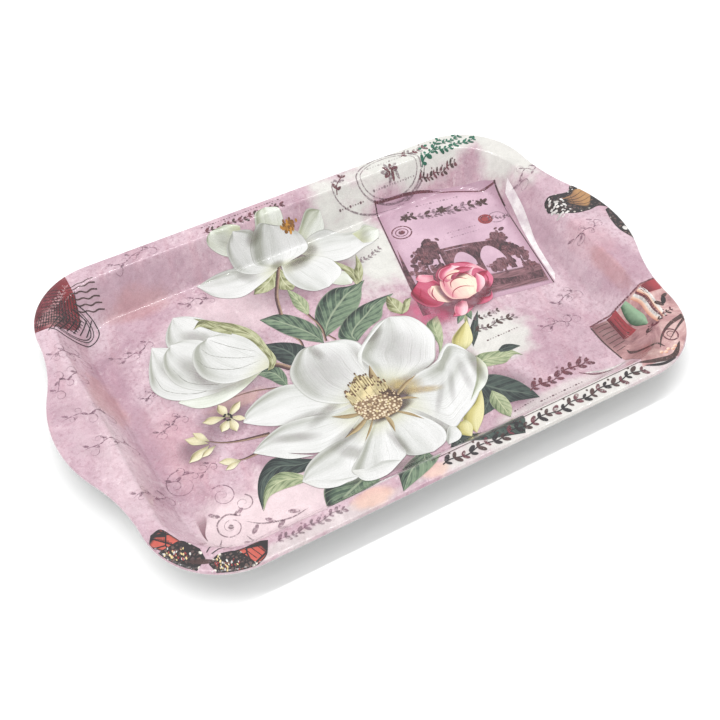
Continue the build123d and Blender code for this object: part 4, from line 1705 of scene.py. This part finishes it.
stamp_ink = ink("engraved_red", paint_stamp)
pale_engraving = line_ink("pale_engraving", tint(206, 158, 162), 0.75, 0.5)
stamp = [
    lay(stretch([(-178, 86), (-174, 104), (-162, 118), (-150, 126), (-143, 128)], [
        (-170, 86), (-158, 86), (-148, 91), (-144, 102), (-143, 118)], 0.8), stamp_ink, 3)
]
for size, width in ((0, 0.7), (3.4, 0.5), (5.0, 0.5)):
    stamp.append(ring(-153, 92, 16 - size, 12 - size * 0.7, width, black_line, 6, -150, 60))
for k in range(6):
    y = 99 + 2.6 * k
    wave = [(-146 + 3.6 * n, y + 0.4 * n + 0.35 * (-1) ** n) for n in range(6)]
    stamp.append(stroke(wave, 0.6, brown_line, 6))
for k in range(7):
    foot, head = (-168 + 3.6 * k, 84 + 0.4 * k), (-158 + 3.2 * k, 93 + 0.5 * k)
    stamp.append(stroke([foot, head], 0.5, black_line, 6))
    foot, head = (-170 + 3.6 * k, 92 + 1.2 * k), (-152 + 1.6 * k, 86 + 1.6 * k)
    stamp.append(stroke([foot, head], 0.5, black_line, 6))
for k in range(16):
    foot = (-176 + 1.9 * k, 87 + 0.3 * k)
    stamp.append(stroke([foot, (foot[0] + 5, foot[1] + 9 + 0.5 * k)], 0.45, black_line, 5))
for k in range(12):
    foot, head = (-175 + 1.6 * k, 90 + 2.4 * k), (-158 + 0.9 * k, 88 + 2.2 * k)
    stamp.append(stroke([foot, head], 0.45, black_line, 5))
for k in range(5):
    foot, head = (-172 + 5 * k, 90 + 3.6 * k), (-162 + 4 * k, 98 + 4.4 * k)
    stamp += garland(foot, head, 5.0, (pale_engraving,), 3.45)
gather("corner_stamp", stamp)

# %% [markdown]
# ## Ticket in the near right corner
# A torn ticket with small coloured panels, a rosette and dark branches, in dull pink, maroon and
# green.

# %% Ticket


def paint_ticket(tree, at, u, v):
    """Dull pink ticket with peach and grey clouds."""
    cloud = grain(tree, at, 48, 6.0, 0.65, 0.8)
    color = shades(
        tree, cloud, (0.32, tint(128, 88, 92)), (0.48, tint(186, 142, 142)),
        (0.66, tint(226, 196, 190))
    )
    dark = patch(tree, at, 139, -70, 10, 16, 1.0)
    color = wash(tree, color, tint(112, 70, 76), dark, 0.75)
    red = patch(tree, at, 169, -68, 9, 5, 0.6)
    color = wash(tree, color, tint(178, 84, 88), red, 0.8)
    low = patch(tree, at, 134, -108, 12, 12, 1.4)
    return wash(tree, color, tint(146, 104, 100), low, 0.6)


def panel_ink(name, dark, light):
    """Small coloured panel, brushed from dark to light across."""

    def paint(tree, at, u, v):
        brush = times(tree, grain(tree, at, 260, 4.0), 0.5, v)
        return shades(tree, brush, (0.3, dark), (1.1, light))

    return ink(name, paint)


maroon_panel = panel_ink("panel_maroon", tint(92, 22, 34), tint(160, 58, 66))
green_panel = panel_ink("panel_green", tint(44, 78, 52), tint(150, 184, 150))
peach_panel = panel_ink("panel_peach", tint(206, 140, 116), tint(238, 208, 186))
ticket = [
    lay(stretch([(134, -61), (132, -76), (134, -98), (124, -118)], [
        (176, -63), (178, -84), (172, -102), (150, -122)], 0.9), ink("ticket_pink", paint_ticket),
        3),
    lay(stretch([(146, -61), (145, -80)], [(153, -60), (152, -82)], 1.0), maroon_panel, 4),
    petal([(155, -62), (153.5, -69), (153, -78), (155, -86)], [
        (158, -62), (158.5, -69), (158.5, -79), (156, -86)], green_panel, 5, gap=1.0),
    lay(stretch([(165, -64), (165, -71)], [(177, -63), (177, -73)], 1.0), maroon_panel, 4),
]
for k, shade in enumerate((peach_panel, white_line, maroon_line, peach_panel, white_line)):
    x = 160.5 + 1.1 * k
    line = [(x, -64), (x + 1.2, -72), (x - 0.6, -82), (x - 2.4, -92)]
    ticket.append(stroke(line, 1.2 if k % 2 else 1.8, shade, 5))
for k in range(4):
    line = [(147.5 + 1.4 * k, -63), (146.8 + 1.4 * k, -79)]
    ticket.append(stroke(line, 0.5, (black_line, seal_ink)[k % 2], 5))
for k in range(7):
    line = [(135, -64 - 3.6 * k), (140, -63.5 - 3.6 * k), (145, -64 - 3.4 * k)]
    ticket.append(stroke(line, 0.5, brown_line, 4))
ticket += garland((150, -92), (170, -90), 5.0, (brown_line, maroon_line), 5)
ticket += [
    stroke([(133, -61), (150, -59.5), (164, -62.5), (177, -63)], 1.2, maroon_line, 5),
    stroke([(133, -62), (132.5, -76), (134, -92)], 1.0, brown_line, 5),
    stroke([(172, -97), (160, -99), (150, -104), (143, -111)], 3.2, brown_line, 5, "taper"),
    stroke([(172, -99), (163, -103), (152, -109)], 2.0, brown_line, 5, "taper"),
    stroke([(124, -114), (134, -118), (146, -120), (156, -113)], 3.4, brown_line, 5, "swell"),
    stroke([(126, -118), (136, -122), (146, -122)], 2.0, black_line, 5, "swell"),
    stroke([(141, -88), (140, -98), (146, -112)], 2.2, brown_line, 5, "swell"),
    ring(155, -106, 4.5, 4.5, 1.0, maroon_line, 5),
    spiral(155, -106, 3, 0.8, maroon_line, 6),
    oval(170, -81, 3.4, 1.6, black_line, 6, 0.9, 0.9),
    oval(166, -82, 3.2, 1.5, brown_line, 6, 2.0, 0.9),
    oval(173, -78, 2.4, 1.2, brown_line, 6, 0.2, 0.9),
]
for k in range(5):
    ticket.append(oval(141 + 2.6 * k, -114.5 - 1.2 * (k % 2), 1.3, 1.1, peach_panel, 7, 0.2, 1))
gather("corner_ticket", ticket)

# %% [markdown]
# ## Butterflies
# Two butterflies sit half over the edge. Their wings are one patch each. A cell pattern gives the
# net of dark veins, except on the amber patch, whose veins are drawn as strokes, and the shade
# changes from root to tip.

# %% Butterflies


def wing_ink(name, near, far, root_dark, tip_dark, cell=190.0, vein=0.08, spots=True):
    """Wing with dark veins and edge, pale spots near the edge, and two colours along it."""
    soot, rust = tint(34, 28, 30), tint(120, 70, 40)

    def paint(tree, at, u, v):
        cells = put(tree, "TexVoronoi", {"Vector": at, "Scale": cell}, feature="DISTANCE_TO_EDGE")
        net = step(tree, cells.outputs[0], vein, vein * 2.2)
        color = mix(tree, step(tree, u, 0.35, 0.6), near, far)
        color = wash(tree, color, rust, grain(tree, at, 300, 4.0), 0.5)
        color = mix(tree, calc(tree, "SUBTRACT", 1.0, net), color, soot)
        dark = calc(tree, "MAXIMUM", step(tree, u, root_dark, root_dark * 0.4), step(
            tree, u, tip_dark, min(tip_dark + 0.12, 1.0)))
        rim = calc(tree, "SUBTRACT", 1.0, across_rim(tree, v, 0.14))
        dark = calc(tree, "MAXIMUM", dark, rim)
        color = mix(tree, dark, color, soot)
        if spots:
            dots = put(tree, "TexVoronoi", {"Vector": at, "Scale": 330.0})
            dot = step(tree, dots.outputs["Distance"], 0.34, 0.22)
            color = wash(tree, color, tint(236, 228, 216), dot, dark)
        return color

    return ink(name, paint)


slate_wing = wing_ink("wing_slate", tint(74, 66, 72), tint(96, 84, 84), 0.1, 0.9, 420.0, 0.12)
amber_wing = wing_ink("wing_amber", tint(158, 118, 82), tint(188, 144, 94), 0.05, 0.86, 40.0, 0.003,
    False)
red_wing = wing_ink("wing_red", tint(212, 96, 86), tint(206, 88, 78), 0.06, 0.62, 120.0, 0.03,
    False)
insects = [
    petal([(161, 26), (163, 33), (170, 33), (180, 31), (186, 35), (194, 22), (197, 2)], [
        (161, 26), (165, 16), (172, 11), (182, 9), (190, 9), (197, 2)], slate_wing, 4, gap=0.8),
    petal([(172, 27), (180, 28), (187, 32), (194, 24)], [
        (172, 27), (176, 18), (184, 12), (194, 24)], amber_wing, 6, gap=0.8),
    stroke([(177, 29), (184, 31.5), (190, 29.5)], 1.6, black_line, 7, "swell"),
    petal([(191, 4), (188, -6), (187, -16), (190, -28)], [
        (199, 6), (199, -6), (198, -18), (190, -28)], slate_wing, 4, gap=0.8),
    oval(191, -17, 1.7, 2.0, white_line, 8, gap=0.8),
    petal([(-160, -95), (-163, -88), (-167, -81), (-173, -82)], [
        (-168, -98), (-173, -92), (-176, -88), (-173, -82)], red_wing, 4, gap=0.8),
    petal([(-154, -102), (-160, -93), (-168, -93), (-176, -94)], [
        (-154, -109), (-164, -114), (-172, -104), (-176, -94)], slate_wing, 5, gap=0.8),
    petal([(-154, -113), (-148, -110), (-142, -111), (-137, -113)], [
        (-152, -122), (-146, -126), (-138, -127), (-132, -125)], slate_wing, 5, gap=0.8),
    petal([(-140, -112), (-134, -113), (-126, -113), (-121, -115)], [
        (-142, -126), (-134, -126), (-126, -123), (-121, -115)], red_wing, 4, gap=0.8),
    stroke([(-163, -106), (-156, -110), (-150, -113)], 3.0, brown_line, 7, "swell"),
    stroke([(-152, -106), (-148, -103), (-143, -102)], 0.6, black_line, 6),
    stroke([(-150, -108), (-145, -107), (-141, -107)], 0.6, black_line, 6),
]
for x, y in ((180, 30.5), (184, 31.3), (188, 30)):
    insects.append(oval(x, y, 0.7, 0.5, white_line, 9, gap=0.6))
for k in range(4):
    insects.append(stroke([(172, 26), (181, 25 - 3 * k), (192, 28 - 4 * k)], 0.8, black_line, 7,
        "taper"))
wing_cream = line_ink("wing_cream", tint(232, 208, 152), 1.0, 0.25)
fleck = np.random.default_rng(8)
for n in range(30):
    x, y = fleck.uniform(162, 172), fleck.uniform(13, 32)
    size = fleck.uniform(0.4, 1.0)
    insects.append(oval(x, y, size, size * 1.3, white_line, 8 + n % 2, fleck.uniform(0, 3), 0.6))
for x, y, wide in ((-166, -100, 6), (-147, -117, 6)):
    for n in range(40):
        dx, dy = fleck.normal(0, 1, 2)
        size = fleck.uniform(0.4, 1.1)
        place = (x + dx * wide * 0.5, y + dy * 2.4 - dx * 1.5)
        shade = (wing_cream, white_line, seal_ink)[n % 3]
        turn = 0.8 + fleck.uniform(0, 1)
        insects.append(oval(*place, size, size * 0.5, shade, 8 + n % 3, turn, 0.6))
for k in range(5):
    insects.append(stroke([(-163 - k, -96 + 2 * k), (-170 - k, -88 + k)], 0.45, black_line, 7))
    insects.append(stroke([(-140 + 3 * k, -114), (-137 + 3 * k, -122)], 0.45, black_line, 7))
gather("butterflies", insects)

# %% [markdown]
# ## Postmark and garlands
# Old print of this kind is full of marks that fill the gaps: a ring postmark on the far flange, a
# green sprig, dark garlands of small leaves, plain rules of beads and faint pen curls. Every one
# is foliage or plain line work.

# %% Postmark
marks = [
    ring(88, 112, 25, 13, 1.0, grey_line, 4),
    ring(88, 112, 22, 11, 0.7, grey_line, 4),
    ring(80, 112, 36, 15, 0.9, grey_line, 4, 150, 350),
]
marks += beads((72, 106.5), (106, 106.5), 1.6, grey_line, 5)
marks += beads((74, 119), (102, 119), 1.6, grey_line, 5)
for k in range(10):
    turn = k * math.pi / 5
    far = 5.2 if k % 2 else 3.4
    place = (89 + far * math.cos(turn), 112 + far * 0.7 * math.sin(turn))
    shade = (maroon_line, grey_line)[k % 2]
    marks.append(oval(*place, 2.6, 1.1, shade, 7 + k % 2, turn * 0.9, 0.9))
gather("ring_postmark", marks)

# %% Green sprig
flourish = garland((113, 108.5), (136, 122), 7.0, (green_line,), 5)
flourish += garland((124, 113), (158, 110), 6.4, (green_line,), 8)
flourish += garland((134, 117), (150, 118), 5.0, (green_line,), 10)
for x, y in ((118, 120), (123, 121), (146, 121), (156, 113)):
    flourish.append(oval(x, y, 1.5, 1.1, green_line, 7, 0.3, 0.8))
gather("green_flourish", flourish)

# %% Garlands that fill the gaps
GARLANDS = (
    ((-16, -119.5), (124, -119.5), 8.4, (black_line, brown_line, maroon_line), 8),
    ((-50, 116), (8, 116), 6.4, (maroon_line, brown_line), 5),
    ((108, 104.3), (138, 104), 4.6, (maroon_line, brown_line), 8),
    ((102, 119), (122, 120), 7.0, (maroon_line, grey_line), 5),
    ((46, 110), (56, 123), 8.0, (maroon_line, grey_line), 5),
    ((68, -28), (98, -28), 6.4, (brown_line, grey_line), 8),
    ((72, -19), (92, -20), 5.0, (grey_line, brown_line), 8),
    ((-118, -118.5), (-76, -117.5), 6.4, (faint_line, grey_line), 5),
    ((36, 62), (56, 68), 5.4, (grey_line,), 5),
    ((70, -85), (116, -82), 9.6, (maroon_line,), 8),
)
RULES = (
    ((70, -38), (94, -38), 1.5, bead_line),
    ((70, -95), (102, -95), 1.6, bead_line),
    ((52, -93.5), (68, -92), 1.4, bead_line),
    ((-50, 121.5), (8, 121.5), 1.5, bead_line),
    ((38, 74), (60, 77), 1.4, grey_line),
    ((44, 104), (64, 104), 1.5, bead_line),
)
rows = [stroke([(-20, -114), (50, -114), (124, -114)], 0.5, brown_line, 8)]
for place in GARLANDS:
    rows += garland(*place)
for place in RULES:
    rows += beads(*place, 5)
rows += [stroke([(106, -90), (112, -92), (120, -95), (134, -96)], 1.4, white_line, 6, "swell")]
rows += [stroke([(104, -88), (112, -94), (124, -97)], 1.0, maroon_line, 6, "swell")]
gather("ornament_garlands", rows)

# %% [markdown]
# ### Faint pen curls
# The left half of the paper is covered with flourishes in faded violet ink, and with a ghost of
# architectural scrollwork low down. They are drawn thin and starved so that they stay behind
# everything else.

# %% Faint pen curls


def tendril(x, y, length, rise, seed, material=faint_line):
    """Faded vine: a long swelling stem with curled shoots and small leaves on both sides."""
    dice = np.random.default_rng(seed)
    count = 6
    xs = x + np.linspace(0, length, count)
    ys = y + np.linspace(0, rise, count) + dice.normal(0, 1.6, count)
    parts = [stroke(list(zip(xs, ys)), 0.7, material, 4, "swell")]
    for k in range(1, count):
        hand = (-1) ** k
        size = dice.uniform(2.4, 4.2)
        centre = (xs[k], ys[k] + hand * size)
        parts.append(spiral(*centre, size, 0.6, material, 4, 1.1, -hand * 1.57, hand))
        leaf = (xs[k] - 2.5, ys[k] - hand * 1.8)
        parts.append(oval(*leaf, 2.0, 0.8, material, 5, 0.6 * hand, 0.9))
    return parts


curls = []
for seed, (x, y, length, rise) in enumerate((
    (-142, 62, 28, 1), (-186, 14, 26, -3), (-184, -14, 28, 4), (-150, -38, 30, -2),
    (-184, 36, 20, 8),
    (-176, 62, 20, 2), (-140, -4, 20, 5), (-118, 117, 32, 3), (-136, 24, 14, 3), (-172, -56, 20, 6),
    (-84, 88, 20, -4), (104, -46, 26, -3), (158, 60, 20, 6), (158, -6, 20, 4), (124, -34, 20, 3),
), start=30):
    curls += tendril(x, y, length, rise, seed)
gather("pen_curls", curls)

scroll = [
    spiral(-129, -83, 9, 1.2, grey_line, 3, 1.9, 0.5, 1),
    oval(-129, -83, 1.6, 1.6, grey_line, 4, gap=1),
    spiral(-124, -62, 8, 0.9, faint_line, 3, 1.6, 2.0, -1),
    spiral(-140, -44, 11, 0.8, faint_line, 3, 1.2, 1.4, 1),
    spiral(-116, -72, 6, 0.9, grey_line, 3, 1.4, 1.0, -1),
    stroke([(-120, -84), (-112, -90), (-98, -94), (-86, -93)], 1.1, grey_line, 3, "swell"),
    stroke([(-137, -88), (-143, -98), (-140, -108)], 1.3, grey_line, 3, "swell"),
    stroke([(-124, -92), (-122, -102), (-128, -110)], 1.1, grey_line, 3, "swell"),
    spiral(-138, -108, 4, 0.8, grey_line, 3, 1.2, 1.2, 1),
]
for x, y, turn in (
    (-118, -91, 0.7), (-108, -90, -0.9), (-104, -95, 0.6), (-94, -91, -0.5), (-142, -95, 2.2),
    (-136, -97, 0.9), (-125, -98, 2.3), (-119, -100, 0.8), (-121, -76, 0.4), (-134, -72, 2.4),
):
    scroll.append(oval(x, y, 3.4, 1.4, faint_line, 4, turn, 0.9))


def paint_thorn(tree, at, u, v):
    """Dark plum wedge that fades out towards its blunt end."""
    color = shades(tree, u, (0.0, tint(206, 168, 178)), (1.0, tint(84, 34, 48)))
    return color, times(tree, step(tree, u, 0.0, 0.7), across_rim(tree, v, 0.2))


scroll.append(petal([(-137, -64), (-138, -72), (-143, -80), (-144, -86)], [
    (-145, -66), (-145, -72), (-145, -80), (-144, -86)], ink("plum_thorn", paint_thorn), 4))
gather("ghost_scrollwork", scroll)

# %% [markdown]
# ## Finish
# Every piece rides on the tray's one body.

# %% Finish
for piece in (tin_sheet, white_coat, print_ground):
    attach(piece, "root")
